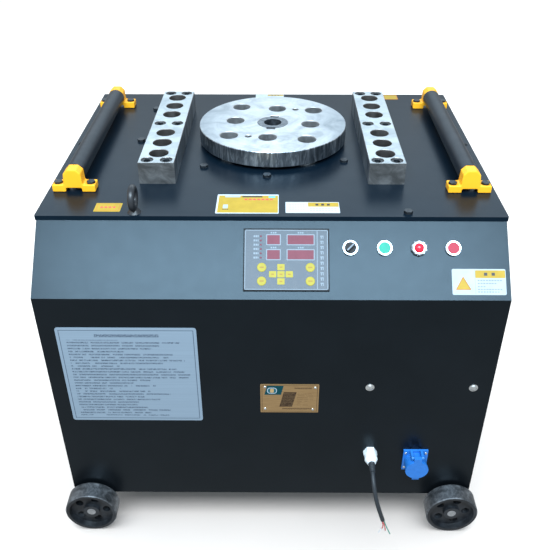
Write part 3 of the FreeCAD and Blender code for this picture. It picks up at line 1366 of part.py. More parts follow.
LID_THICK = 5
lid_back = sleeve_front - 0.6
lid_disc = rod(dim.socket_radius + 1, socket_x, lid_back - LID_THICK, socket_z, LID_THICK, "Y")
lid_tab = box((socket_x - 8, socket_x + 8), (lid_back - 3, lid_back),
              (socket_z - dim.socket_radius - 7, socket_z - 20))
knuckle = union(rod(3.8, socket_x - 8.5, hinge_y, hinge_level, 17, "X"),
                box((socket_x - 8.5, socket_x + 8.5), (lid_back - LID_THICK, hinge_y),
                    (hinge_level - 3.8 + 2.4, hinge_level + 3.8)),
                box((socket_x - 8.5, socket_x + 8.5), (lid_back - LID_THICK, lid_back),
                    (socket_z + dim.socket_radius - 3, hinge_level + 3.8)))
pin = rod(1.5, socket_x - 14, hinge_y, hinge_level, 28, "X")
node("socket_lid", union(lid_disc, lid_tab, knuckle, pin))

# ---------------------------------------------------------------- electrics behind the front cover

board_y = (inner_front + leg, inner_front + leg + 3)
node("electrics_plate", box((120, 450), board_y, (dim.body_bottom + wall, beam[0])))
back_of_board = board_y[1]
devices = [box((x, x + 45), (back_of_board, back_of_board + 82), (dim.beam_level - 150, dim.beam_level - 75))
           for x in (150, 200)]
devices.append(box((290, 380), (back_of_board, back_of_board + 70),
                   (dim.beam_level - 170, dim.beam_level - 90)))
devices.append(box((150, 380), (back_of_board, back_of_board + 30),
                   (dim.beam_level - 250, dim.beam_level - 225)))
node("control_gear", together(*devices))

# ---------------------------------------------------------------- wheels

axle_radius = dim.wheel_axle / 2
node("wheel_axles", together(*[rod(axle_radius, x, -wheel_face + 4, wheel_radius, wheel_face * 2 - 8, "Y")
                               for x in (-dim.wheel_x, dim.wheel_x)]))
WHEEL_SPOTS = {"front_left_wheel": (-1, -1), "front_right_wheel": (1, -1),
               "rear_left_wheel": (-1, 1), "rear_right_wheel": (1, 1)}
TREAD = 11
WEB_SINK = 13
HUB = 19
HUB_SINK = 4
for label, (side, end) in WHEEL_SPOTS.items():
    wheel = new_body(label)
    half = dim.wheel_width / 2
    bore = axle_radius + dim.running_fit
    rim_inner = wheel_radius - TREAD
    revolve(wheel, [
        (bore, half - HUB_SINK),
        (HUB, half - HUB_SINK),
        (HUB, half - WEB_SINK),
        (rim_inner, half - WEB_SINK),
        (rim_inner + 2, half),
        (wheel_radius - 2, half),
        (wheel_radius, half - 2),
        (wheel_radius, 2 - half),
        (wheel_radius - 2, -half),
        (rim_inner + 2, -half),
        (rim_inner, WEB_SINK - half),
        (HUB, WEB_SINK - half),
        (HUB, -half),
        (bore, -half),
    ])
    window = pocket(wheel, circles(wheel, [((rim_inner + HUB) / 2, 0, 9.5)], half), dim.wheel_width)
    round_pattern(wheel, window, 5)
    facing = 90 if end < 0 else -90
    place(wheel, side * dim.wheel_x, end * (wheel_back + half), wheel_radius, Vector(1, 0, 0), facing)

# ---------------------------------------------------------------- check and write

doc.recompute()
for thing in doc.Objects:
    if {"Invalid", "Error"} & set(thing.State):
        raise RuntimeError(f"{thing.Label} failed: {thing.State}")
for thing in nodes:
    if thing.Shape.isNull() or not thing.Shape.isValid():
        raise RuntimeError(f"{thing.Label} has no valid shape")
os.makedirs("parts", exist_ok=True)
for thing in nodes:
    thing.Shape.exportStep(f"parts/{thing.Label}.step")
print(len(nodes), "sub-parts written")
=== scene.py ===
# %% [markdown]
# # A rebar bender, dressed for display
# The machine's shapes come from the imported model, which is loaded first and never moved. Everything in this
# file is added around it: the camera and lamps, the power lead, the finishes of paint and ground steel, and
# the small details that a maker would call trim. All lengths are metres, with X to the right, Y to the back
# and Z up, and the origin on the floor under the middle of the machine.

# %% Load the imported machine
import math

import bpy
from mathutils import Matrix, Vector


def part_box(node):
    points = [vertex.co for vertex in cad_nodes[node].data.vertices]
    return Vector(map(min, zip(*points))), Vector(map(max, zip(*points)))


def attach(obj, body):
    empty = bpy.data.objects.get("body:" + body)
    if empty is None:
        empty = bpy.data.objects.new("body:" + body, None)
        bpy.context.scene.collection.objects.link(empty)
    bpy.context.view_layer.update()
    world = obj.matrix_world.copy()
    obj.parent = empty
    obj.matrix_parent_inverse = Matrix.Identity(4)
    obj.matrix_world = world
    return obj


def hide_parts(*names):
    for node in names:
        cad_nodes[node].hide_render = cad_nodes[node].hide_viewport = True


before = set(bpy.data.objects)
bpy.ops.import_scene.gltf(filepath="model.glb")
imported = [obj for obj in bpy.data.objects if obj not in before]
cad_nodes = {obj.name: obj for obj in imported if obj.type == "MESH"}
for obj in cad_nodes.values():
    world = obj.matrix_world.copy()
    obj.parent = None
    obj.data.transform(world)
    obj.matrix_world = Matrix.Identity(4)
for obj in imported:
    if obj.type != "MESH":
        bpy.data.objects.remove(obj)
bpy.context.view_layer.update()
MM = 0.001
SAME_PLACE = 0.01 * MM

# %% [markdown]
# ## Camera
# The machine is seen from the front and above, from about one and a half metres away, so its top narrows
# towards the back. A camera is a lens and a place. Its own turn about X tips it down from the horizon, and
# the lens length sets how strongly the far edge shrinks. Depth of field stays off, so all of it is sharp.

# %% Camera
CAMERA_TIP = 56.10
lens = bpy.data.cameras.new("camera")
lens.lens = 46.93
lens.sensor_width = 36
camera = bpy.data.objects.new("camera", lens)
camera.location = (0.0158, -1.5460, 1.4764)
camera.rotation_euler = (math.radians(CAMERA_TIP), 0, 0.0064)
bpy.context.scene.collection.objects.link(camera)
bpy.context.scene.camera = camera
bpy.context.scene.view_settings.view_transform = "Standard"
print("camera looks down by", round(90 - CAMERA_TIP, 1), "degrees")

# %% [markdown]
# ## Hand tools
# Every modelled piece goes through the same few moves: it is picked out alone, opened for editing, and closed
# again with its faces turned outwards. They are short functions, so the cells below say only what is special.

# %% Hand tools


def only(piece):
    """Selects one object, and nothing else, as the active one."""
    bpy.ops.object.select_all(action="DESELECT")
    piece.select_set(True)
    bpy.context.view_layer.objects.active = piece


def shaped():
    """Into edit mode on the active object with everything selected."""
    bpy.ops.object.mode_set(mode="EDIT")
    bpy.ops.mesh.select_all(action="SELECT")


def done():
    """Out of edit mode with the faces turned outwards."""
    bpy.ops.mesh.select_all(action="SELECT")
    bpy.ops.mesh.normals_make_consistent(inside=False)
    bpy.ops.object.mode_set(mode="OBJECT")
    return bpy.context.object


def round_sheet(place, radius, sides, turn=(0, 0, 0)):
    """A flat filled circle, its place already in its mesh."""
    bpy.ops.object.select_all(action="DESELECT")
    bpy.ops.mesh.primitive_circle_add(vertices=sides, radius=radius, fill_type="NGON", location=place,
                                      rotation=turn)
    bpy.ops.object.transform_apply(location=True, rotation=True, scale=True)
    return bpy.context.object


def raised(rise):
    """Pulls the selected faces up by rise, with walls behind them."""
    bpy.ops.mesh.extrude_region_move(TRANSFORM_OT_translate={"value": (0, 0, rise)})


print("hand tools ready")

# %% [markdown]
# ## The power lead
# A short stub of lead leaves the white gland on the front, bends down under its own weight and ends in three
# bare cores. A lead is a length of something flexible, so it starts as a NURBS curve: the points pull the
# line like magnets and it never kinks. The bare curve gives the line, the curve's own bevel gives it a round
# section, and both are read off as meshes: the line as a list of points, and the finished lead as one clean
# tube.

# %% The lead and its cores
LEAD_DIAMETER = 9.5 * MM
lead_points = [
    (0.226, -0.443, 0.225),
    (0.226, -0.462, 0.225),
    (0.226, -0.481, 0.218),
    (0.228, -0.496, 0.204),
    (0.232, -0.506, 0.184),
    (0.238, -0.510, 0.161),
    (0.245, -0.511, 0.138),
    (0.252, -0.510, 0.115),
]
lead_curve = bpy.data.curves.new("power_lead", "CURVE")
lead_curve.dimensions = "3D"
lead_line = lead_curve.splines.new("NURBS")
lead_line.points.add(len(lead_points) - 1)
for point, place in zip(lead_line.points, lead_points):
    point.co = (*place, 1)
lead_line.use_endpoint_u = True
lead_line.order_u = 3
lead_line.resolution_u = 12
lead_guide = bpy.data.objects.new("lead_guide", lead_curve)
bpy.context.scene.collection.objects.link(lead_guide)
lead_path = [tuple(v.co) for v in bpy.data.meshes.new_from_object(lead_guide).vertices]
lead_curve.bevel_depth = LEAD_DIAMETER / 2
lead_curve.bevel_resolution = 6
lead_curve.use_fill_caps = True
bpy.context.view_layer.update()
lead_tube = bpy.data.meshes.new_from_object(lead_guide)
bpy.data.objects.remove(lead_guide)
lead = bpy.data.objects.new("power_lead", lead_tube)
bpy.context.scene.collection.objects.link(lead)
only(lead)
shaped()
bpy.ops.mesh.remove_doubles(threshold=SAME_PLACE)
done()
bpy.ops.object.shade_smooth_by_angle(angle=math.radians(40))
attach(lead, "base")
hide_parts("power_cable")
print("lead points", len(lead_points), "path points", len(lead_path))

# %% [markdown]
# ## Floor and light
# A pale floor and soft light, as in a studio. The machine is dark and glossy, so what it shows is mostly what
# it reflects: a wide soft box above the front makes the sloping panel pale, a second one behind makes the
# ground steel bright, and the upright front panel, which sees only the floor, stays nearly black.

# %% Floor and lamps
bpy.ops.object.select_all(action="DESELECT")
bpy.ops.mesh.primitive_plane_add(size=60, location=(0, 8, 0))
floor = bpy.context.object
floor.name = "floor"
floor.visible_glossy = False
floor.visible_diffuse = False

machine_only = bpy.data.collections.new("lights_the_machine_only")
machine_only.objects.link(floor)
machine_only.collection_objects[0].light_linking.link_state = "EXCLUDE"
floor_only = bpy.data.collections.new("lights_the_floor_only")
floor_only.objects.link(floor)


def soft_box(name, place, aim, size, power, colour, lights=None):
    """A rectangular lamp at a place, turned to face the point aim. It may light only some things."""
    lamp = bpy.data.lights.new(name, "AREA")
    lamp.shape = "RECTANGLE"
    lamp.size, lamp.size_y = size
    lamp.energy = power
    lamp.color = colour
    holder = bpy.data.objects.new(name, lamp)
    holder.location = place
    holder.rotation_euler = (Vector(aim) - Vector(place)).to_track_quat("-Z", "Y").to_euler()
    bpy.context.scene.collection.objects.link(holder)
    if lights:
        holder.light_linking.receiver_collection = lights


soft_box("front_soft_box", (0, -1.95, 3.0), (0, -0.35, 0.70), (3.0, 1.0), 245, (0.68, 0.86, 1.0),
         machine_only)
soft_box("rear_soft_box", (0, 3.2, 2.9), (0, 0.1, 0.8), (5.0, 1.8), 56, (0.74, 0.89, 1.0))
soft_box("left_soft_box", (-3.2, -1.0, 2.2), (0, 0, 0.6), (1.4, 1.8), 12, (1.0, 0.97, 0.93))
soft_box("floor_soft_box", (0, 0, 6.0), (0, 0, 0), (9.0, 9.0), 720, (1.0, 0.99, 0.98), floor_only)
world = bpy.data.worlds.new("studio")
bpy.context.scene.world = world
world.use_nodes = True
world.node_tree.nodes["Background"].inputs["Color"].default_value = (0.92, 0.97, 1.0, 1)
world.node_tree.nodes["Background"].inputs["Strength"].default_value = 0.55

# %% [markdown]
# ## A bench for mixing finishes
# Every finish is a node tree that ends in one Principled shader. The same few moves come back each time:
# take the point's own position, stretch or turn it, feed it to a noise, colour the result and press some of
# it into a bump. Wrapping those moves in a small class keeps each finish below to a few readable lines.

# %% The finish bench


class Finish:
    """One finish: its material, its node tree and short names for the moves that build it."""

    def __init__(self, name, roughness=0.5, metal=0.0, specular=0.5):
        self.material = bpy.data.materials.new(name)
        self.material.use_nodes = True
        self.tree = self.material.node_tree
        self.shader = self.tree.nodes["Principled BSDF"]
        self.shader.inputs["Roughness"].default_value = roughness
        self.shader.inputs["Metallic"].default_value = metal
        self.shader.inputs["Specular IOR Level"].default_value = specular
        self.here = self.add("TexCoord")

    def add(self, kind, **settings):
        """A new node. Capital names set its sockets, and small ones its options."""
        node = self.tree.nodes.new("ShaderNode" + kind)
        for name, value in settings.items():
            if name[0].isupper():
                node.inputs[name.replace("_", " ")].default_value = value
            else:
                setattr(node, name, value)
        return node

    def feed(self, value, socket):
        """Links an output to a socket, or sets the socket to a plain value."""
        if isinstance(value, bpy.types.NodeSocket):
            self.tree.links.new(value, socket)
        elif socket.type == "RGBA" and len(value) == 3:
            socket.default_value = (*value, 1)
        else:
            socket.default_value = value

    def spot(self, centre=(0, 0, 0), unit=(1, 1, 1), turn=(0, 0, 0)):
        """The point's position from centre, turned back by turn, with unit as one."""
        mapping = self.add("Mapping", vector_type="TEXTURE", Location=centre, Scale=unit, Rotation=turn)
        self.feed(self.here.outputs["Object"], mapping.inputs["Vector"])
        return mapping.outputs["Vector"]

    def parts(self, vector):
        """The X, Y and Z of a vector."""
        split = self.add("SeparateXYZ")
        self.feed(vector, split.inputs[0])
        return split.outputs

    def vector(self, x, y, z):
        """A vector from three values."""
        joined = self.add("CombineXYZ")
        for value, socket in zip((x, y, z), joined.inputs):
            self.feed(value, socket)
        return joined.outputs[0]

    def sum(self, operation, a, b=0.0, c=0.0, clamp=False):
        """One step of arithmetic."""
        node = self.add("Math", operation=operation, use_clamp=clamp)
        for value, socket in zip((a, b, c), node.inputs):
            self.feed(value, socket)
        return node.outputs[0]

    def reach(self, a, b):
        """How far a point is from an axis, from its two places across that axis."""
        squares = self.sum("ADD", self.sum("MULTIPLY", a, a), self.sum("MULTIPLY", b, b))
        return self.sum("SQRT", squares)

    def noise(self, spot, scale, detail=2.0, rough=0.5, twist=0.0):
        """Soft random clouds, about 1/scale across."""
        node = self.add("TexNoise", Scale=scale, Detail=detail, Roughness=rough, Distortion=twist)
        self.feed(spot, node.inputs["Vector"])
        return node.outputs["Fac"]

    def ramp(self, value, *stops):
        """A value turned to a colour or a level by stops of (place, colour)."""
        node = self.add("ValToRGB")
        bar = node.color_ramp.elements
        while len(bar) < len(stops):
            bar.new(0.5)
        for element, (place, colour) in zip(bar, stops):
            element.position = place
            level = (colour,) * 3 if isinstance(colour, (int, float)) else colour
            element.color = (*level, 1)
        self.feed(value, node.inputs[0])
        return node.outputs[0]

    def mix(self, share, under, over, way="MIX"):
        """Two colours mixed; share is how much of over shows."""
        node = self.add("Mix", data_type="RGBA", blend_type=way)
        self.feed(share, node.inputs[0])
        self.feed(under, node.inputs[6])
        self.feed(over, node.inputs[7])
        return node.outputs[2]

    def between(self, value, low, high, soft=0.02):
        """1 where the value lies between low and high, with soft edges."""
        middle = (low + high) / 2
        half = (high - low) / 2
        away = self.sum("ABSOLUTE", self.sum("SUBTRACT", value, middle))
        return self.sum("MULTIPLY", self.sum("SUBTRACT", half, away), 1 / (soft * half), clamp=True)

    def facing(self, axis, least=0.7):
        """1 where the surface faces along an axis, either way: 0 for X, 1 for Y and 2 for Z."""
        turned = self.sum("ABSOLUTE", self.parts(self.here.outputs["Normal"])[axis])
        return self.sum("GREATER_THAN", turned, least)

    def colour(self, value):
        self.feed(value, self.shader.inputs["Base Color"])

    def rough(self, value):
        self.feed(value, self.shader.inputs["Roughness"])

    def metal(self, value):
        self.feed(value, self.shader.inputs["Metallic"])

    def bump(self, height, depth, strength=1.0):
        """Presses a height into the surface, over any bump already there."""
        node = self.add("Bump", Strength=strength, Distance=depth)
        self.feed(height, node.inputs["Height"])
        before = self.shader.inputs["Normal"].links
        if before:
            self.feed(before[0].from_socket, node.inputs["Normal"])
        self.feed(node.outputs[0], self.shader.inputs["Normal"])


def give(material, *names):
    """Gives a finish to CAD nodes, in place of what they came with."""
    for name in names:
        mesh = cad_nodes[name].data
        mesh.materials.clear()
        mesh.materials.append(material)


def paint(name, dark, light, roughness, specular, peel=0.00012, grime=0.35):
    """Sprayed paint: orange peel, faint clouds of colour, dust and rubbed patches."""
    coat = Finish(name, roughness, specular=specular)
    at = coat.spot()
    clouds = coat.noise(at, 9, 4, 0.6)
    coat.colour(coat.ramp(clouds, (0.35, dark), (0.7, light)))
    rubbed = coat.noise(at, 34, 6, 0.7)
    gloss = coat.sum("MULTIPLY_ADD", rubbed, grime, roughness - grime / 2)
    coat.rough(gloss)
    coat.bump(coat.noise(at, 420, 1), peel, 0.25)
    return coat


print("bench ready")

# %% [markdown]
# ## Floor finish
# The floor is a pale matt sheet. A trace of uneven tone keeps it from looking like empty space.

# %% Floor finish
floor_coat = Finish("floor_sheet", 0.8, specular=0.2)
floor_coat.colour(floor_coat.ramp(floor_coat.noise(floor_coat.spot(), 3, 3), (0.3, 0.90), (0.7, 0.93)))
floor.data.materials.append(floor_coat.material)

# %% [markdown]
# ## Body paint
# The cabinet is sprayed in a dark blue charcoal. Sprayed paint is smooth but not flat: it dries with a fine
# dimpling called orange peel, and it picks up dull, rubbed patches. The colour hardly changes, so the
# interest is all in roughness and a very shallow bump.

# %% Body and frame paint
body_coat = paint("body_paint", (0.0022, 0.0030, 0.0040), (0.0032, 0.0042, 0.0055), 0.30, 0.26, grime=0.08)
body_coat.shader.inputs["Specular Tint"].default_value = (0.66, 0.86, 1.0, 1)
give(body_coat.material, "front_cover", "left_side_panel", "right_side_panel", "rear_panel")
# The table plate's base colour is its own dark paint with a painted reflection of the bluish sky added, so it
# is bluer than the body.
table_coat_and_sky_tint = paint("table_paint_and_sky_tint", (0.0020, 0.0062, 0.0120), (0.0030, 0.0082, 0.0150), 0.30, 0.17, grime=0.08)
table_coat_and_sky_tint.shader.inputs["Specular Tint"].default_value = (0.44, 0.76, 1.0, 1)
give(table_coat_and_sky_tint.material, "table_plate")
frame_coat = paint("frame_paint", (0.012, 0.014, 0.017), (0.022, 0.025, 0.029), 0.55, 0.35, grime=0.2)
give(frame_coat.material, "frame", "electrics_plate", "motor_plate")

# %% [markdown]
# ## Ground steel
# The disc and the two tooth blocks are thick steel. Their tops are surface ground and reflect the lamp behind
# almost white, with grey smears of oil and fine grinding lines. Their edges are rougher and darker. One node
# carries both finishes, so the finish asks which way the surface faces and mixes the two by that.

# %% Disc
low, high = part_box("bending_disc")
disc_middle = ((low.x + high.x) / 2, (low.y + high.y) / 2, high.z)
DISC_RADIUS = (high.x - low.x) / 2
disc_coat = Finish("ground_steel_disc", 0.35, metal=1.0)
at_disc = disc_coat.spot(disc_middle)
disc_x, disc_y, disc_z = disc_coat.parts(at_disc)
reach = disc_coat.reach(disc_x, disc_y)
across = disc_coat.sum("DIVIDE", disc_x, reach)
along = disc_coat.sum("DIVIDE", disc_y, reach)
turning = disc_coat.noise(disc_coat.vector(across, along, disc_coat.sum("MULTIPLY", reach, 90)), 1.6, 3, 0.6)
smear = disc_coat.noise(at_disc, 11, 5, 0.62, 1.8)
fine = disc_coat.noise(disc_coat.vector(across, along, disc_coat.sum("MULTIPLY", reach, 700)), 2.0, 2)
smear_tone = disc_coat.ramp(smear, (0.38, (0.66, 0.71, 0.75)), (0.54, (0.53, 0.58, 0.62)),
                            (0.70, (0.36, 0.41, 0.45)))
top_tone = disc_coat.mix(disc_coat.ramp(turning, (0.45, 0.0), (0.75, 0.45)), smear_tone, (0.44, 0.49, 0.53))
# Painted shade: the disc's top is darkened at its left and right sides towards the rim, in place of the way
# its turning grooves spread the reflection.
sideways = disc_coat.sum("POWER", disc_coat.sum("ABSOLUTE", across), 2.5)
outward = disc_coat.ramp(disc_coat.sum("MULTIPLY", reach, 1 / DISC_RADIUS), (0.35, 0.0), (0.95, 1.0))
painted_side_shade = disc_coat.sum("MULTIPLY", disc_coat.sum("MULTIPLY", sideways, outward), 0.62)
top_tone = disc_coat.mix(painted_side_shade, top_tone, (0.22, 0.27, 0.32))
edge_lines = disc_coat.noise(disc_coat.vector(disc_coat.sum("MULTIPLY", across, 14),
                                              disc_coat.sum("MULTIPLY", along, 14),
                                              disc_coat.sum("MULTIPLY", disc_z, 16)), 1.0, 5, 0.7, 1.2)
edge_tone = disc_coat.ramp(edge_lines, (0.36, (0.16, 0.18, 0.20)), (0.50, (0.34, 0.38, 0.42)),
                           (0.64, (0.80, 0.84, 0.87)))
bore_mask = disc_coat.sum("LESS_THAN", reach, DISC_RADIUS - 4 * MM)
side_tone = disc_coat.mix(bore_mask, edge_tone, (0.70, 0.71, 0.72))
disc_flat = disc_coat.facing(2, 0.9)
disc_coat.colour(disc_coat.mix(disc_flat, side_tone, top_tone))
disc_coat.rough(disc_coat.ramp(smear, (0.3, 0.30), (0.7, 0.46)))
disc_coat.bump(fine, 0.00006, 0.35)
disc_coat.bump(edge_lines, 0.0002, 0.25)
give(disc_coat.material, "bending_disc")
print("disc radius", round(DISC_RADIUS, 4))

# %% Tooth blocks


def block_finish(node):
    """Ground top, milled sides and flame-cut ends for one tooth block."""
    low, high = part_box(node)
    steel = Finish(f"ground_steel_{node}", 0.4, metal=1.0)
    at = steel.spot(((low.x + high.x) / 2, (low.y + high.y) / 2, high.z))
    x, y, z = steel.parts(at)
    smear = steel.noise(at, 14, 4, 0.6, 1.0)
    lines = steel.noise(steel.vector(steel.sum("MULTIPLY", x, 18), steel.sum("MULTIPLY", y, 420), z), 1.0, 2)
    top = steel.ramp(smear, (0.42, (0.56, 0.63, 0.67)), (0.66, (0.42, 0.48, 0.52)))
    top = steel.mix(steel.ramp(lines, (0.5, 0.0), (0.8, 0.35)), top, (0.38, 0.43, 0.47))
    milled_way = steel.vector(x, steel.sum("MULTIPLY", y, 40), steel.sum("MULTIPLY", z, 9))
    mill = steel.noise(milled_way, 1.0, 4, 0.65)
    side = steel.ramp(mill, (0.38, (0.13, 0.15, 0.17)), (0.66, (0.40, 0.44, 0.48)))
    cut = steel.noise(steel.spot(unit=(0.045, 1, 0.03), turn=(0, 0.5, 0)), 1.0, 4, 0.6, 1.2)
    end = steel.ramp(cut, (0.38, 0.10), (0.50, 0.145), (0.68, 0.24))
    near_end = steel.sum("GREATER_THAN", steel.sum("ABSOLUTE", y), (high.y - low.y) / 2 - 1 * MM)
    flank = steel.facing(0, 0.98)
    inner = steel.mix(flank, (0.34, 0.32, 0.31), side)
    walls = steel.mix(near_end, inner, end)
    flat = steel.facing(2, 0.9)
    steel.colour(steel.mix(flat, walls, top))
    steel.rough(steel.ramp(smear, (0.3, 0.34), (0.7, 0.50)))
    steel.metal(steel.sum("MULTIPLY_ADD", near_end, -0.35, 1.0))
    steel.bump(lines, 0.00005, 0.3)
    steel.bump(cut, 0.0006, 0.35)
    give(steel.material, node)


for node in ("left_tooth_block", "right_tooth_block"):
    block_finish(node)
    print(node, "finished")

# %% [markdown]
# ## Plain metals and castings
# The rest of the metal parts share a few finishes: turned steel, black oxide, bright zinc, rough casting.
# Each one is a base colour broken by noise, with a roughness that follows the same noise, because handling
# and oil dull the same places that they darken.

# %% Metal finishes


def metal(name, dark, light, roughness, scale=60, metallic=1.0, depth=0.00008):
    """A metal with patches of tone and gloss, and a fine grain pressed into it."""
    coat = Finish(name, roughness, metal=metallic)
    at = coat.spot()
    patches = coat.noise(at, scale, 5, 0.65)
    coat.colour(coat.ramp(patches, (0.35, dark), (0.68, light)))
    coat.rough(coat.sum("MULTIPLY_ADD", patches, 0.3, roughness - 0.15))
    coat.bump(coat.noise(at, 900, 2), depth, 0.3)
    return coat.material


machined = metal("machined_steel", (0.42, 0.44, 0.46), (0.66, 0.68, 0.70), 0.38)
spindle_steel = metal("spindle_steel", (0.10, 0.12, 0.14), (0.28, 0.32, 0.36), 0.42, 90)
oiled = metal("oiled_steel", (0.035, 0.04, 0.045), (0.10, 0.11, 0.12), 0.45, 120)
black_oxide = metal("black_oxide", (0.018, 0.021, 0.026), (0.07, 0.085, 0.10), 0.40, 160, metallic=0.75)
zinc = metal("bright_zinc", (0.62, 0.64, 0.64), (0.84, 0.85, 0.84), 0.26, 140)
chrome = metal("chrome_ring", (0.26, 0.29, 0.32), (0.34, 0.37, 0.40), 0.22, 120, depth=0.00002)
casting = metal("cast_iron", (0.05, 0.055, 0.06), (0.13, 0.135, 0.14), 0.62, 40, metallic=0.7, depth=0.0006)
give(machined, "second_shaft", "first_shaft", "input_shaft", "wheel_axles", "roller_axles", "motor_rotor")
give(machined, "second_gear", "first_gear", "bull_gear", "shaft_bearings")
give(spindle_steel, "spindle")
give(oiled, "drive_keys")
give(black_oxide, "table_bolts", "bracket_bolts", "block_screws", "machine_bolts")

# %% Panel screws, bright on the front and blackened on the table
TABLE_SCREWS_ABOVE = 0.76
screw_coat = Finish("panel_screws", 0.3, metal=1.0)
screw_at = screw_coat.spot()
worn_zinc = screw_coat.noise(screw_at, 140, 5, 0.65)
zinc_tone = screw_coat.ramp(worn_zinc, (0.35, (0.55, 0.57, 0.58)), (0.68, (0.84, 0.85, 0.84)))
black_tone = screw_coat.ramp(worn_zinc, (0.35, (0.012, 0.014, 0.017)), (0.68, (0.045, 0.050, 0.058)))
on_top = screw_coat.sum("GREATER_THAN", screw_coat.parts(screw_at)[2], TABLE_SCREWS_ABOVE)
screw_coat.colour(screw_coat.mix(on_top, zinc_tone, black_tone))
screw_coat.rough(screw_coat.sum("MULTIPLY_ADD", worn_zinc, 0.3, 0.16))
screw_coat.metal(screw_coat.sum("MULTIPLY_ADD", on_top, -0.5, 1.0))
screw_coat.bump(screw_coat.noise(screw_at, 900, 2), 0.00006, 0.3)
give(screw_coat.material, "panel_screws")

# %% Bezels and castings
give(chrome, "switch_bezels")
give(casting, "gearbox_top", "gearbox_case", "input_pulley", "motor_pulley")
print("materials so far", len(bpy.data.materials))

# %% [markdown]
# ## Paints, plastics and rubber
# The roller brackets are cast and sprayed yellow, the rollers and the drive are painted, and the small parts
# are plastic. Plastic and paint are the same thing to a shader: a coloured body under a clear surface.

# %% Paints
yellow_coat = paint("yellow_paint", (0.90, 0.40, 0.016), (0.98, 0.46, 0.024), 0.42, 0.25, peel=0.0003,
                    grime=0.15)
roller_coat = paint("roller_steel", (0.006, 0.009, 0.013), (0.011, 0.015, 0.021), 0.36, 0.30, grime=0.2)
roller_coat.shader.inputs["Specular Tint"].default_value = (0.70, 0.86, 1.0, 1)
give(roller_coat.material, "left_roller", "right_roller")
motor_coat = paint("motor_paint", (0.02, 0.09, 0.16), (0.03, 0.12, 0.20), 0.4, 0.5)
give(motor_coat.material, "motor_housing", "motor_flange", "fan_cowl", "terminal_box")
eye_coat = paint("eyebolt_black", (0.010, 0.011, 0.013), (0.022, 0.024, 0.028), 0.4, 0.5, grime=0.2)
give(eye_coat.material, "lifting_eyebolt")

# %% Plastics and rubber


def plastic(name, colour, roughness=0.35, specular=0.5, depth=0.00005):
    """Moulded plastic: an even colour, faint spark-eroded texture and a few dull touches."""
    coat = Finish(name, roughness, specular=specular)
    at = coat.spot()
    touched = coat.noise(at, 120, 4, 0.6)
    darker = tuple(c * 0.86 for c in colour)
    coat.colour(coat.ramp(touched, (0.35, darker), (0.65, colour)))
    coat.rough(coat.sum("MULTIPLY_ADD", touched, 0.2, roughness - 0.1))
    coat.bump(coat.noise(at, 1600, 1), depth, 0.3)
    return coat


white_plastic = plastic("white_plastic", (0.80, 0.84, 0.86), 0.3)
blue_plastic = plastic("blue_plastic", (0.020, 0.17, 0.55), 0.34)
black_plastic = plastic("black_plastic", (0.016, 0.017, 0.019), 0.42, 0.12)
dark_rubber = plastic("lead_rubber", (0.022, 0.026, 0.031), 0.5, 0.4, 0.0002)
grey_plastic = plastic("grey_plastic", (0.30, 0.32, 0.33), 0.45)
green_plastic = plastic("green_cap", (0.022, 0.31, 0.22), 0.34, 0.10)
red_plastic = plastic("red_cap", (0.37, 0.032, 0.055), 0.34, 0.10)
give(white_plastic.material, "cable_gland")
give(blue_plastic.material, "socket_body", "socket_lid")
give(black_plastic.material, "selector_knob")
case_plastic = plastic("controller_rim", (0.010, 0.011, 0.013), 0.5, 0.08)
give(case_plastic.material, "controller_case")
give(dark_rubber.material, "v_belts")
give(grey_plastic.material, "control_gear")
give(green_plastic.material, "start_button")
give(red_plastic.material, "stop_button")
lead_tube.materials.append(dark_rubber.material)
lens_coat = plastic("red_lens", (0.80, 0.020, 0.045), 0.12, 0.6)
lens_coat.shader.inputs["Emission Color"].default_value = (0.9, 0.03, 0.06, 1)
lens_coat.shader.inputs["Emission Strength"].default_value = 0.15
give(lens_coat.material, "power_lamp")

# %% [markdown]
# ## Bare cores
# Three cores leave the end of the lead: white, red and green. They are one node, so the colour is chosen by
# where a point is. The cores fan out as they go down, so the two dividing lines lean outwards too.

# %% Bare cores
core_coat = Finish("core_plastic", 0.35)
core_x, _, core_z = core_coat.parts(core_coat.spot(lead_points[-1]))
fall = core_coat.sum("MULTIPLY", core_z, -1.0)
first_line = core_coat.sum("MULTIPLY_ADD", fall, 0.06, -1.3 * MM)
second_line = core_coat.sum("MULTIPLY_ADD", fall, 0.30, 1.3 * MM)
past_first = core_coat.sum("GREATER_THAN", core_x, first_line)
past_second = core_coat.sum("GREATER_THAN", core_x, second_line)
core_tone = core_coat.mix(past_first, (0.75, 0.76, 0.76), (0.55, 0.06, 0.06))
core_coat.colour(core_coat.mix(past_second, core_tone, (0.04, 0.30, 0.22)))
core_coat.bump(core_coat.noise(core_coat.spot(), 700, 1), 0.0001, 0.3)
give(core_coat.material, "cable_wires")

# %% [markdown]
# ## Wheels
# Each wheel is a machined iron casting. The tread is bare, mottled grey metal, the dished face is painted
# black, and the hub shows the axle end. The finish measures how far a point is from the axle: past the
# shoulder it is tread, and nearer it is paint.

# %% Wheel finish
SHOULDER = 2.5 * MM


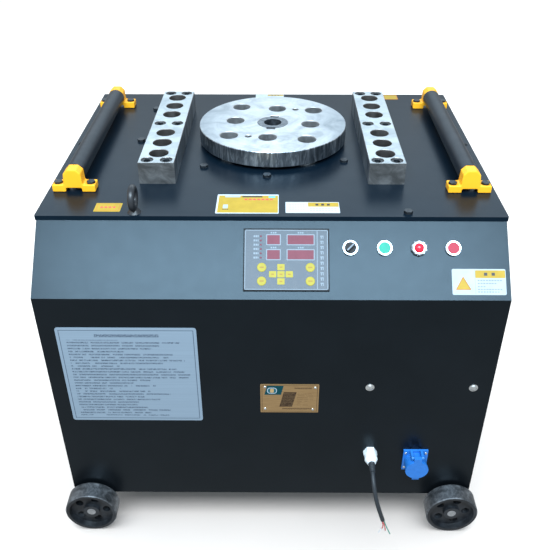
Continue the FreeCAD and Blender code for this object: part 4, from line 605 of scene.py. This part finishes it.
def wheel_finish(node):
    """Bare tread and painted face for one wheel."""
    low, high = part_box(node)
    radius = (high.z - low.z) / 2
    coat = Finish(f"wheel_{node}", 0.5)
    at = coat.spot(((low.x + high.x) / 2, (low.y + high.y) / 2, (low.z + high.z) / 2))
    x, _, z = coat.parts(at)
    tread = coat.sum("GREATER_THAN", coat.reach(x, z), radius - SHOULDER)
    mottle = coat.noise(at, 55, 6, 0.72, 0.6)
    bare = coat.ramp(mottle, (0.36, (0.05, 0.055, 0.059)), (0.50, (0.115, 0.12, 0.13)),
                     (0.66, (0.24, 0.25, 0.265)))
    dust = coat.noise(at, 26, 5, 0.7)
    painted = coat.ramp(dust, (0.42, (0.005, 0.006, 0.008)), (0.78, (0.030, 0.034, 0.040)))
    coat.colour(coat.mix(tread, painted, bare))
    coat.metal(coat.sum("MULTIPLY", tread, 0.75))
    coat.rough(coat.sum("MULTIPLY_ADD", mottle, 0.35, 0.25))
    coat.bump(mottle, 0.0005, 0.4)
    give(coat.material, node)


for node in ("front_left_wheel", "front_right_wheel", "rear_left_wheel", "rear_right_wheel"):
    wheel_finish(node)
    print(node, "finished")

# %% [markdown]
# ## Printed plates
# The front carries a light blue plate full of rows of print and a brass rating plate. Print at this size is
# best drawn by the finish, not cut from the sheet: rows come from the fraction of the height over the row
# pitch, words from a slow noise along the row, and broken strokes from a fast one. It reads as text from a
# step away and says nothing.

# %% Print for plates


def printed(coat, x, y, row, stroke, span, rise, fullness=0.5):
    """A mask of rows of small broken strokes inside span (X) and rise (Y), each row ending where it likes."""
    line = coat.sum("FLOOR", coat.sum("DIVIDE", y, row))
    within = coat.sum("FRACT", coat.sum("DIVIDE", y, row))
    band = coat.between(within, 0.22, 0.80, 0.3)
    across = coat.sum("DIVIDE", x, stroke)
    up = coat.sum("DIVIDE", y, stroke)
    strokes = coat.noise(coat.vector(across, coat.sum("MULTIPLY", line, 7.7), up), 1.0, 1)
    drawn = coat.sum("GREATER_THAN", strokes, 0.47)
    word_spot = coat.vector(coat.sum("DIVIDE", across, 7.0), coat.sum("MULTIPLY", line, 3.1), 0.0)
    words = coat.noise(word_spot, 1.0, 0)
    spaced = coat.sum("GREATER_THAN", words, 0.36)
    chance = coat.add("TexWhiteNoise", noise_dimensions="1D")
    coat.feed(coat.sum("ADD", line, 0.5), chance.inputs["W"])
    ends = coat.sum("MULTIPLY_ADD", chance.outputs["Value"], (1 - fullness) * (span[1] - span[0]),
                    span[0] + fullness * (span[1] - span[0]))
    before_end = coat.sum("LESS_THAN", x, ends)
    inside = coat.sum("MULTIPLY", coat.between(x, *span, 0.002), coat.between(y, *rise, 0.002))
    mask = coat.sum("MULTIPLY", band, drawn)
    for part in (spaced, before_end, inside):
        mask = coat.sum("MULTIPLY", mask, part)
    return mask


def outlined(coat, x, y, half_wide, half_high, line):
    """A mask of a thin rectangle line around the middle."""
    outer = coat.sum("MULTIPLY", coat.between(x, -half_wide, half_wide, 0.001),
                     coat.between(y, -half_high, half_high, 0.001))
    inner = coat.sum("MULTIPLY", coat.between(x, line - half_wide, half_wide - line, 0.001),
                     coat.between(y, line - half_high, half_high - line, 0.001))
    return coat.sum("SUBTRACT", outer, inner)


# %% Instruction plate
FRONT_TURN = (math.radians(90), 0, 0)
low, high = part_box("instruction_plate")
plate_middle = (low + high) / 2
half_wide = (high.x - low.x) / 2
half_high = (high.z - low.z) / 2
plate_coat = Finish("printed_aluminium", 0.38, metal=0.35)
plate_x, plate_y, _ = plate_coat.parts(plate_coat.spot(plate_middle, turn=FRONT_TURN))
grain = plate_coat.noise(plate_coat.vector(plate_coat.sum("MULTIPLY", plate_x, 6),
                                           plate_coat.sum("MULTIPLY", plate_y, 700), 0.0), 1.0, 3)
sheet_tone = plate_coat.ramp(grain, (0.3, (0.255, 0.325, 0.400)), (0.7, (0.290, 0.370, 0.450)))
rows = printed(plate_coat, plate_x, plate_y, 7.9 * MM, 1.3 * MM, (-half_wide + 19 * MM, half_wide - 17 * MM),
               (-half_high + 14 * MM, half_high - 31 * MM), 0.35)
title_y = plate_coat.sum("SUBTRACT", plate_y, half_high - 28 * MM)
title = printed(plate_coat, plate_x, title_y, 15 * MM, 2.2 * MM, (-0.46 * half_wide, 0.46 * half_wide),
                (1 * MM, 14 * MM), 1.0)
frame_line = outlined(plate_coat, plate_x, plate_y, half_wide - 6 * MM, half_high - 6 * MM, 1.4 * MM)
ink = plate_coat.sum("MAXIMUM", plate_coat.sum("MAXIMUM", rows, title), frame_line)
plate_coat.colour(plate_coat.mix(plate_coat.sum("MULTIPLY", ink, 0.80), sheet_tone, (0.025, 0.045, 0.08)))
plate_coat.rough(plate_coat.sum("MULTIPLY_ADD", grain, 0.2, 0.30))
plate_coat.bump(ink, 0.00005, 0.4)
give(plate_coat.material, "instruction_plate")
print("instruction plate", round(half_wide * 2, 3), "by", round(half_high * 2, 3))

# %% Rating plate
low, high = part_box("rating_plate")
rating_middle = (low + high) / 2
rating_half = ((high.x - low.x) / 2, (high.z - low.z) / 2)
brass_coat = Finish("printed_brass", 0.36, metal=0.75)
brass_x, brass_y, _ = brass_coat.parts(brass_coat.spot(rating_middle, turn=FRONT_TURN))
brushed = brass_coat.noise(brass_coat.vector(brass_coat.sum("MULTIPLY", brass_x, 30),
                                             brass_coat.sum("MULTIPLY", brass_y, 900), 0.0), 1.0, 3)
brass_tone = brass_coat.ramp(brushed, (0.3, (0.36, 0.215, 0.095)), (0.7, (0.50, 0.315, 0.145)))
leaning = brass_coat.sum("MULTIPLY_ADD", brass_y, -0.22, brass_x)
badge = brass_coat.sum("MULTIPLY", brass_coat.between(leaning, -57 * MM, -21 * MM, 0.01),
                       brass_coat.between(brass_y, 11 * MM, 37 * MM, 0.01))
table_field = brass_coat.sum("MULTIPLY", brass_coat.between(leaning, -17 * MM, 11 * MM, 0.01),
                             brass_coat.between(brass_y, -24 * MM, 19 * MM, 0.01))
foot_line = printed(brass_coat, brass_x, brass_coat.sum("ADD", brass_y, 34 * MM), 8 * MM, 1.1 * MM,
                    (-16 * MM, 48 * MM), (0.5 * MM, 7 * MM), 1.0)
head_line = printed(brass_coat, brass_x, brass_coat.sum("SUBTRACT", brass_y, 26 * MM), 8 * MM, 1.1 * MM,
                    (10 * MM, 50 * MM), (0.5 * MM, 7 * MM), 1.0)
small_rows = printed(brass_coat, brass_x, brass_y, 5.4 * MM, 0.9 * MM, (16 * MM, 52 * MM),
                     (-24 * MM, 18 * MM), 0.3)
table_rows = printed(brass_coat, brass_x, brass_y, 4.3 * MM, 0.8 * MM, (-20 * MM, 14 * MM),
                     (-23 * MM, 18 * MM), 0.9)
edge_line = outlined(brass_coat, brass_x, brass_y, rating_half[0] - 3 * MM, rating_half[1] - 3 * MM, 1.0 * MM)
tone = brass_coat.mix(badge, brass_tone, (0.004, 0.085, 0.105))
tone = brass_coat.mix(brass_coat.sum("MULTIPLY", table_field, 0.86), tone, (0.030, 0.016, 0.014))
tone = brass_coat.mix(brass_coat.sum("MULTIPLY", brass_coat.sum("MULTIPLY", table_rows, table_field), 0.5),
                      tone, (0.36, 0.24, 0.12))
dark_ink = brass_coat.sum("MAXIMUM", brass_coat.sum("MAXIMUM", foot_line, head_line), edge_line)
dark_ink = brass_coat.sum("MAXIMUM", dark_ink, brass_coat.sum("MULTIPLY", small_rows, 0.4))
brass_coat.colour(brass_coat.mix(brass_coat.sum("MULTIPLY", dark_ink, 0.8), tone, (0.05, 0.028, 0.02)))
brass_coat.rough(brass_coat.sum("MULTIPLY_ADD", brushed, 0.2, 0.28))
give(brass_coat.material, "rating_plate")
print("rating plate", [round(v * 2, 3) for v in rating_half])

# %% Controller face film
film_coat = plastic("panel_film", (0.048, 0.064, 0.084), 0.30, 0.20)
give(film_coat.material, "controller_face")

# %% [markdown]
# ## Pieces laid on a face
# The labels, the print on the controller, the rivets and the screws all lie flat on some face of the
# machine. Each is modelled flat on the ground plane, where X is right and Y is up the face, and then the
# whole piece is turned onto its face and its place is applied, so the finished mesh holds its own place.

# %% Tools for flat pieces
TABLE_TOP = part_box("table_plate")[1].z
SLOPE_TOP = Vector((0, *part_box("table_plate")[0].yz))
on_table = Matrix.Translation((0, 0, TABLE_TOP))
on_slope = Matrix.Translation(SLOPE_TOP) @ Matrix.Rotation(math.radians(45), 4, "X")
on_front = Matrix.Translation((0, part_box("front_cover")[0].y, 0)) @ Matrix.Rotation(math.radians(90), 4, "X")
print("table top", round(TABLE_TOP, 3), "slope starts at", [round(v, 3) for v in SLOPE_TOP])


def thin(x, y, wide, high, material, thick=0.25 * MM, corner=0.0, lift=0.0):
    """A thin rectangle with rounded corners, its middle at x and y, standing from lift to lift + thick."""
    bpy.ops.object.select_all(action="DESELECT")
    bpy.ops.mesh.primitive_plane_add(size=1, location=(x, y, lift))
    bpy.context.object.scale = (wide, high, 1)
    bpy.ops.object.transform_apply(location=True, rotation=True, scale=True)
    shaped()
    if corner:
        bpy.ops.mesh.bevel(offset=corner, segments=4, affect="VERTICES")
    bpy.ops.mesh.select_all(action="SELECT")
    raised(thick)
    piece = done()
    piece.data.materials.append(material)
    return piece


def puck(x, y, radius, material, thick=0.5 * MM, edge=0.0, lift=0.0, sides=32):
    """A thin disc with a rounded top edge."""
    round_sheet((x, y, lift), radius, sides)
    shaped()
    raised(thick)
    if edge:
        bpy.ops.mesh.inset(thickness=edge)
        bpy.ops.transform.translate(value=(0, 0, edge * 0.6))
    piece = done()
    piece.data.materials.append(material)
    return piece


def joined(name, parts):
    """Several objects as one piece."""
    bpy.ops.object.select_all(action="DESELECT")
    for part in parts:
        part.select_set(True)
    bpy.context.view_layer.objects.active = parts[0]
    if len(parts) > 1:
        bpy.ops.object.join()
    piece = bpy.context.object
    piece.name = name
    return piece


def settle(piece, matrix, body):
    """Turns a flat piece onto its face, applies its place and lets it ride on a body."""
    only(piece)
    piece.matrix_world = matrix
    bpy.ops.object.transform_apply(location=True, rotation=True, scale=True)
    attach(piece, body)
    print(piece.name, len(piece.data.polygons), "faces on", body)
    return piece


# %% Inks and films


def film(name, colour, roughness=0.4, specular=0.25):
    """Printed vinyl: an even ink with slight fading and a soft sheen."""
    coat = Finish(name, roughness, specular=specular)
    fade = coat.noise(coat.spot(), 45, 4, 0.6)
    pale = tuple(min(1.0, c * 1.12 + 0.01) for c in colour)
    coat.colour(coat.ramp(fade, (0.38, colour), (0.68, pale)))
    coat.rough(coat.sum("MULTIPLY_ADD", fade, 0.2, roughness - 0.1))
    coat.bump(coat.noise(coat.spot(), 300, 2), 0.00004, 0.3)
    return coat.material


white_ink = film("white_ink", (0.46, 0.52, 0.55))
yellow_ink = film("yellow_ink", (0.38, 0.245, 0.010))
orange_ink = film("orange_ink", (0.42, 0.16, 0.014))
grey_ink = film("grey_ink", (0.34, 0.39, 0.44))
black_ink = film("black_ink", (0.018, 0.018, 0.022))
red_ink = film("red_ink", (0.62, 0.06, 0.05))
teal_ink = film("teal_ink", (0.10, 0.46, 0.48))
teal_dark_ink = film("teal_dark", (0.004, 0.085, 0.105))
brass_ink = film("brass_mark", (0.42, 0.27, 0.12))
key_ink = film("key_yellow", (0.310, 0.258, 0.026), specular=0.12)
key_mark_ink = film("key_orange", (0.258, 0.146, 0.026), specular=0.12)
window_ink = film("display_window", (0.130, 0.022, 0.038), 0.30, 0.10)
print_ink = film("print_white", (0.181, 0.215, 0.249), specular=0.12)
slope_white_ink = film("slope_white", (0.344, 0.387, 0.413), specular=0.10)
slope_yellow_ink = film("slope_yellow", (0.361, 0.232, 0.026), specular=0.10)
slope_orange_ink = film("slope_orange", (0.361, 0.146, 0.022), specular=0.10)
slope_grey_ink = film("slope_grey", (0.172, 0.198, 0.215), specular=0.10)

# %% [markdown]
# ## Controller print
# The controller's face is a printed film. It shows four dark red display windows with pale frames, a column
# of small lamps, four round keys, five square keys set as a plus, and a strip of marks at the right. The keys
# stand a little proud, as a membrane key does, so each is a thin puck or a rounded square of its own.

# %% Controller print
face_low, face_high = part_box("controller_face")
face_x = (face_low.x + face_high.x) / 2
face_drop = -0.080
FACE_LIFT = 3.5 * MM
FILM = 0.12 * MM


def spot_on_face(x, y):
    """A place on the face, from millimetres across and up from its middle."""
    return face_x + x * MM, face_drop + y * MM


def bar(x, y, wide, high):
    """A printed bar, in millimetres from the middle of the face."""
    return thin(*spot_on_face(x, y), wide * MM, high * MM, print_ink, FILM, lift=FACE_LIFT)


RULES = ((0, 60, 165.4, 1.8), (0, -60, 165.4, 1.8), (-81.8, 0, 1.8, 121.8), (81.8, 0, 1.8, 121.8),
         (61.2, 0, 1.5, 119))
white_parts = [bar(*rule) for rule in RULES]
window_parts = []
high = 18.6
for x, y, wide in [(x, y, wide) for y in (40.4, 9.9) for x, wide in ((-25.5, 25.2), (28.4, 51.7))]:
    white_parts.append(thin(*spot_on_face(x, y), (wide + 4) * MM, (high + 4) * MM, print_ink, FILM, 1.5 * MM,
                            FACE_LIFT))
    window_parts.append(thin(*spot_on_face(x, y), wide * MM, high * MM, window_ink, 0.30 * MM, 0.6 * MM,
                             FACE_LIFT))
    for side in (-4.2, 0.2, 4.2):
        white_parts.append(bar(x + side, y + high / 2 + 5.1, 3.0, 3.2))
for row in range(6):
    y = 47.4 - 8.7 * row
    for x, wide in ((-63.4, 3.4), (-59.2, 3.2), (-55.9, 1.8)):
        white_parts.append(bar(x, y, wide, 4.0))
    window_parts.append(puck(*spot_on_face(-50.6, y), 1.9 * MM, window_ink, 0.3 * MM, 0.4 * MM, FACE_LIFT,
                             16))
for row in range(10):
    y = 48.0 - 10.6 * row
    white_parts += [bar(70.6, y, 6.6, 2.0), bar(69.4, y - 3.2, 2.2, 4.2), bar(73.0, y - 3.2, 1.6, 4.2)]
settle(joined("controller_print", white_parts), on_slope, "base")
settle(joined("display_windows", window_parts), on_slope, "base")

# %% Controller keys
key_parts = []
for x, y in ((-48.5, -15.9), (-48.5, -43.5), (47.3, -15.9), (47.3, -43.5)):
    key_parts.append(puck(*spot_on_face(x, y), 9.1 * MM, key_ink, 0.5 * MM, 0.9 * MM, FACE_LIFT, 40))
    key_parts.append(thin(*spot_on_face(x, y), 8.0 * MM, 2.6 * MM, key_mark_ink, FILM, 0.5 * MM,
                          FACE_LIFT + 1.04 * MM))
for x, y in ((-10.5, -15.4), (-26.9, -29.7), (-10.5, -29.7), (5.9, -29.7), (-10.5, -44.0)):
    key_parts.append(thin(*spot_on_face(x, y), 14.4 * MM, 12.6 * MM, key_ink, 0.6 * MM, 1.2 * MM, FACE_LIFT))
    key_parts.append(thin(*spot_on_face(x, y), 5.5 * MM, 2.4 * MM, key_mark_ink, FILM, 0.5 * MM,
                          FACE_LIFT + 0.6 * MM))
settle(joined("membrane_keys", key_parts), on_slope, "base")

# %% [markdown]
# ## Labels
# Five vinyl labels lie on the table and one on the slope. A label is a sheet a quarter of a millimetre
# thick with blocks of colour and rows of marks, all plain shapes without words.

# %% Labels
LIFT = 0.25 * MM
INK = 0.06 * MM
FINE_INK = 0.05 * MM


def marks(x, y, count, pitch, wide, high, material, lift):
    """A row of small marks from x to the right."""
    return [thin(x + step * pitch, y, wide, high, material, INK, lift=lift) for step in range(count)]


big_x, big_y = -0.049, -0.240
big_label = [thin(big_x, big_y, 0.128, 0.082, white_ink, LIFT, 2 * MM)]
big_label.append(thin(big_x + 0.001, big_y - 0.001, 0.123, 0.074, yellow_ink, INK, 1 * MM, LIFT))
big_label.append(thin(big_x - 0.032, big_y + 0.031, 0.032, 0.006, grey_ink, FINE_INK, lift=LIFT + INK))
big_label.append(thin(big_x + 0.009, big_y + 0.031, 0.042, 0.006, black_ink, FINE_INK, lift=LIFT + INK))
big_label.append(thin(big_x + 0.050, big_y + 0.030, 0.014, 0.007, teal_ink, FINE_INK, lift=LIFT + INK))
big_label += marks(big_x - 0.004, big_y + 0.019, 7, 0.0088, 0.0060, 0.0062, red_ink, LIFT + INK)
big_label.append(thin(big_x - 0.045, big_y - 0.012, 0.010, 0.016, grey_ink, FINE_INK, 1 * MM, LIFT + INK))
big_label += marks(big_x - 0.049, big_y - 0.024, 3, 0.0044, 0.0032, 0.0030, black_ink, LIFT + INK)
settle(joined("table_label_large", big_label), on_table, "base")


def wide_label(name, x, y, wide, high, matrix, share=0.41):
    """A white label: marks at the left, and a yellow heading over more marks at the right."""
    split = x - wide / 2 + share * wide
    right = wide * (1 - share)
    parts = [thin(x, y, wide, high, white_ink, LIFT, 1.5 * MM)]
    parts.append(thin(split + right / 2, y + 0.26 * high, right - 2 * MM, 0.40 * high, yellow_ink, INK,
                      lift=LIFT))
    parts += marks(split + 0.30 * right, y + 0.26 * high, 3, 0.18 * right, 0.09 * right, 0.17 * high,
                   black_ink, LIFT + INK)
    for row in (-0.10, -0.28):
        parts += marks(split + 0.10 * right, y + row * high, 9, 0.095 * right, 0.062 * right, 0.07 * high,
                       grey_ink, LIFT)
    for row in (0.28, 0.12, -0.04, -0.20):
        parts += marks(split - 0.78 * share * wide, y + row * high, 6, 0.12 * share * wide,
                       0.075 * share * wide, 0.05 * high, grey_ink, LIFT)
    return settle(joined(name, parts), matrix, "base")


wide_label("table_label_white", 0.084, -0.255, 0.110, 0.046, on_table)
wide_label("rear_label_white", -0.011, 0.392, 0.078, 0.024, on_table)
small_x, small_y = -0.333, -0.257
small_label = [thin(small_x, small_y, 0.054, 0.036, yellow_ink, LIFT, 2 * MM),
               thin(small_x, small_y, 0.047, 0.029, orange_ink, INK, 1 * MM, LIFT),
               thin(small_x, small_y, 0.044, 0.026, yellow_ink, INK, 1 * MM, LIFT + INK)]
small_label += marks(small_x - 0.013, small_y, 4, 0.0085, 0.0055, 0.0060, red_ink, LIFT + 2 * INK)
settle(joined("table_label_small", small_label), on_table, "base")
corner_label = [thin(0.324, 0.385, 0.038, 0.034, orange_ink, LIFT, 2 * MM),
                thin(0.324, 0.385, 0.032, 0.028, yellow_ink, INK, 1 * MM, LIFT)]
settle(joined("rear_label_small", corner_label), on_table, "base")

# %% Slope label
note_x, note_y = 0.410, -0.123
note = [thin(note_x, note_y, 0.106, 0.052, slope_white_ink, LIFT, 3 * MM),
        thin(note_x - 0.0076, note_y, 0.0006, 0.050, slope_grey_ink, FINE_INK, lift=LIFT),
        thin(note_x + 0.0225, note_y + 0.0156, 0.059, 0.0155, slope_yellow_ink, INK, 1 * MM, LIFT)]
for size, ink, layer in ((0.0180, slope_orange_ink, 0), (0.0150, slope_yellow_ink, 1)):
    round_sheet((note_x - 0.031, note_y - 0.0070, LIFT + layer * INK), size, 3)
    shaped()
    bpy.ops.mesh.bevel(offset=0.0018, segments=4, affect="VERTICES")
    bpy.ops.mesh.select_all(action="SELECT")
    raised(INK)
    triangle = done()
    triangle.data.materials.append(ink)
    note.append(triangle)
note += marks(note_x + 0.0135, note_y + 0.0156, 2, 0.0150, 0.0065, 0.0060, black_ink, LIFT + INK)
for row, count in ((0.003, 9), (-0.003, 7), (-0.0095, 3), (-0.0150, 9), (-0.0200, 8)):
    note += marks(note_x - 0.001, note_y + row, count, 0.0055, 0.0036, 0.0022, slope_grey_ink, LIFT)
settle(joined("slope_label", note), on_slope, "base")

# %% [markdown]
# ## Cast brackets
# The four roller brackets are sand castings. A casting has no sharp edge: the sand rounds every corner. The
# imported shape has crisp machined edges, so a copy of it is melted a little: its skin is rebuilt from small
# cubes, which gives even faces, and smoothing then pulls the corners in. The copy stands for the original.

# %% Rounded castings
CASTING_GRAIN = 1.3 * MM


def copied(node, name):
    """A merged copy of a CAD node's mesh, as a piece of its own."""
    piece = bpy.data.objects.new(name, cad_nodes[node].data.copy())
    bpy.context.scene.collection.objects.link(piece)
    only(piece)
    shaped()
    bpy.ops.mesh.remove_doubles(threshold=SAME_PLACE)
    done()
    return piece


def finished(piece, kind, **settings):
    """Adds one modifier and applies it."""
    step = piece.modifiers.new(kind.lower(), kind)
    for setting, value in settings.items():
        setattr(step, setting, value)
    bpy.ops.object.modifier_apply(modifier=step.name)


castings = copied("roller_brackets", "bracket_castings")
finished(castings, "REMESH", mode="VOXEL", voxel_size=CASTING_GRAIN)
finished(castings, "SMOOTH", factor=0.5, iterations=5)
castings.data.materials.clear()
castings.data.materials.append(yellow_coat.material)
bpy.ops.object.shade_smooth()
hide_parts("roller_brackets")
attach(castings, "base")
print("castings", len(castings.data.polygons), "faces")

# %% [markdown]
# ## Switch trim
# The selector's handle has a white line along its back, so its setting can be read from a distance. The lamp
# between the two buttons has a scalloped ring that is gripped to unscrew the lens. Both are modelled on the
# flat and turned onto the slope. The line rides on the selector, because it turns with it.

# %% Pointer line and scalloped ring
SWITCH_DROP = -0.056
SELECTOR_X, LAMP_X = 0.1575, 0.2935
pointer = thin(0, 0, 2.8 * MM, 19.5 * MM, print_ink, 0.4 * MM, 0.9 * MM)
at_switch = Matrix.Translation((SELECTOR_X, SWITCH_DROP, 15 * MM))
on_handle = at_switch @ Matrix.Rotation(math.radians(-45), 4, "Z")
settle(joined("selector_line", [pointer]), on_slope @ on_handle, "selector")

LOBES = 10
ring_middle = (LAMP_X, SWITCH_DROP, 2 * MM)
ring = round_sheet(ring_middle, 16.6 * MM, 2 * LOBES)
bpy.ops.object.mode_set(mode="EDIT")
bpy.ops.mesh.select_all(action="DESELECT")
bpy.ops.object.mode_set(mode="OBJECT")
for corner in ring.data.vertices:
    corner.select = corner.index % 2 == 1
bpy.ops.object.mode_set(mode="EDIT")
bpy.ops.transform.resize(value=(0.88, 0.88, 1), center_override=ring_middle)
bpy.ops.mesh.select_all(action="SELECT")
bpy.ops.mesh.bevel(offset=2.2 * MM, segments=5, affect="VERTICES")
bpy.ops.mesh.select_all(action="SELECT")
raised(4.0 * MM)
bpy.ops.mesh.inset(thickness=0.7 * MM)
bpy.ops.transform.translate(value=(0, 0, 0.6 * MM))
bpy.ops.mesh.inset(thickness=2.6 * MM)
bpy.ops.transform.translate(value=(0, 0, -0.5 * MM))
done()
ring.data.materials.append(chrome)
settle(joined("lamp_ring", [ring]), on_slope, "base")

# %% [markdown]
# ## Rivets, screws and the strain relief
# Four dome rivets hold the rating plate, and four screws the socket's flange. The lead leaves its gland
# through a ribbed rubber sleeve that tapers towards the lead, so it never bends sharply at the nut. The
# sleeve is one ring pushed along the lead step by step, each step narrower, with every second one a groove.

# %% Rivets and flange screws


def dome(x, y, radius, rise, material, lift=0.0):
    """A low round head: a disc extruded up in three shrinking steps."""
    round_sheet((x, y, lift), radius, 24)
    shaped()
    raised(rise * 0.35)
    for shrink, step in ((0.88, 0.30), (0.72, 0.22), (0.45, 0.13)):
        raised(rise * step)
        bpy.ops.transform.resize(value=(shrink, shrink, 1), center_override=(x, y, lift))
    piece = done()
    piece.data.materials.append(material)
    bpy.ops.object.shade_smooth_by_angle(angle=math.radians(50))
    return piece


PLATE_FACE = -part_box("rating_plate")[0].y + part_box("front_cover")[0].y
rivets = [dome(rating_middle.x + x * MM, rating_middle.z + y * MM, 3.2 * MM, 1.8 * MM, zinc, PLATE_FACE)
          for x, y in ((-53, 33.5), (55, 32), (-53, -30), (51, -31.5))]
settle(joined("plate_rivets", rivets), on_front, "base")
badge_layers = ((21, 17, grey_ink, 6.5, 0), (17.5, 13.5, teal_dark_ink, 5, 0.1), (8, 11, brass_ink, 2, 0.2))
badge_parts = [thin(rating_middle.x - 38 * MM, rating_middle.z + 23 * MM, wide * MM, high * MM, ink, 0.1 * MM,
                    corner * MM, PLATE_FACE + lift * MM)
               for wide, high, ink, corner, lift in badge_layers]
settle(joined("plate_badge", badge_parts), on_front, "base")
SOCKET_X, SOCKET_LEVEL, SCREW_REACH = 0.3305, 0.201, 22.5 * MM
FLANGE_FACE = 5 * MM
socket_screws = [dome(SOCKET_X + x * SCREW_REACH, SOCKET_LEVEL + y * SCREW_REACH, 3.4 * MM, 1.6 * MM, zinc,
                      FLANGE_FACE)
                 for x, y in ((-1, 1), (1, 1), (-1, -1), (1, -1))]
settle(joined("socket_screws", socket_screws), on_front, "base")

# %% Strain relief
exit_x, exit_y, exit_z = lead_points[0]
centre_y, centre_z = exit_y + 2 * MM, exit_z
round_sheet((exit_x, centre_y, centre_z), 8.2 * MM, 32, (math.radians(90), 0, 0))
shaped()
RIBS = 7
ahead = -1.9 * MM
for step in range(1, 2 * RIBS + 1):
    drop = -0.016 * MM * step
    bpy.ops.mesh.extrude_region_move(TRANSFORM_OT_translate={"value": (0, ahead, drop)})
    centre_y += ahead
    centre_z += drop
    shrink = 0.90 if step % 2 else 1.06
    bpy.ops.transform.resize(value=(shrink, 1, shrink), center_override=(exit_x, centre_y, centre_z))
relief = done()
relief.data.materials.append(dark_rubber.material)
settle(joined("strain_relief", [relief]), Matrix.Identity(4), "base")

# %% [markdown]
# ## The last update
# The view layer is brought up to date at the end.

bpy.context.view_layer.update()
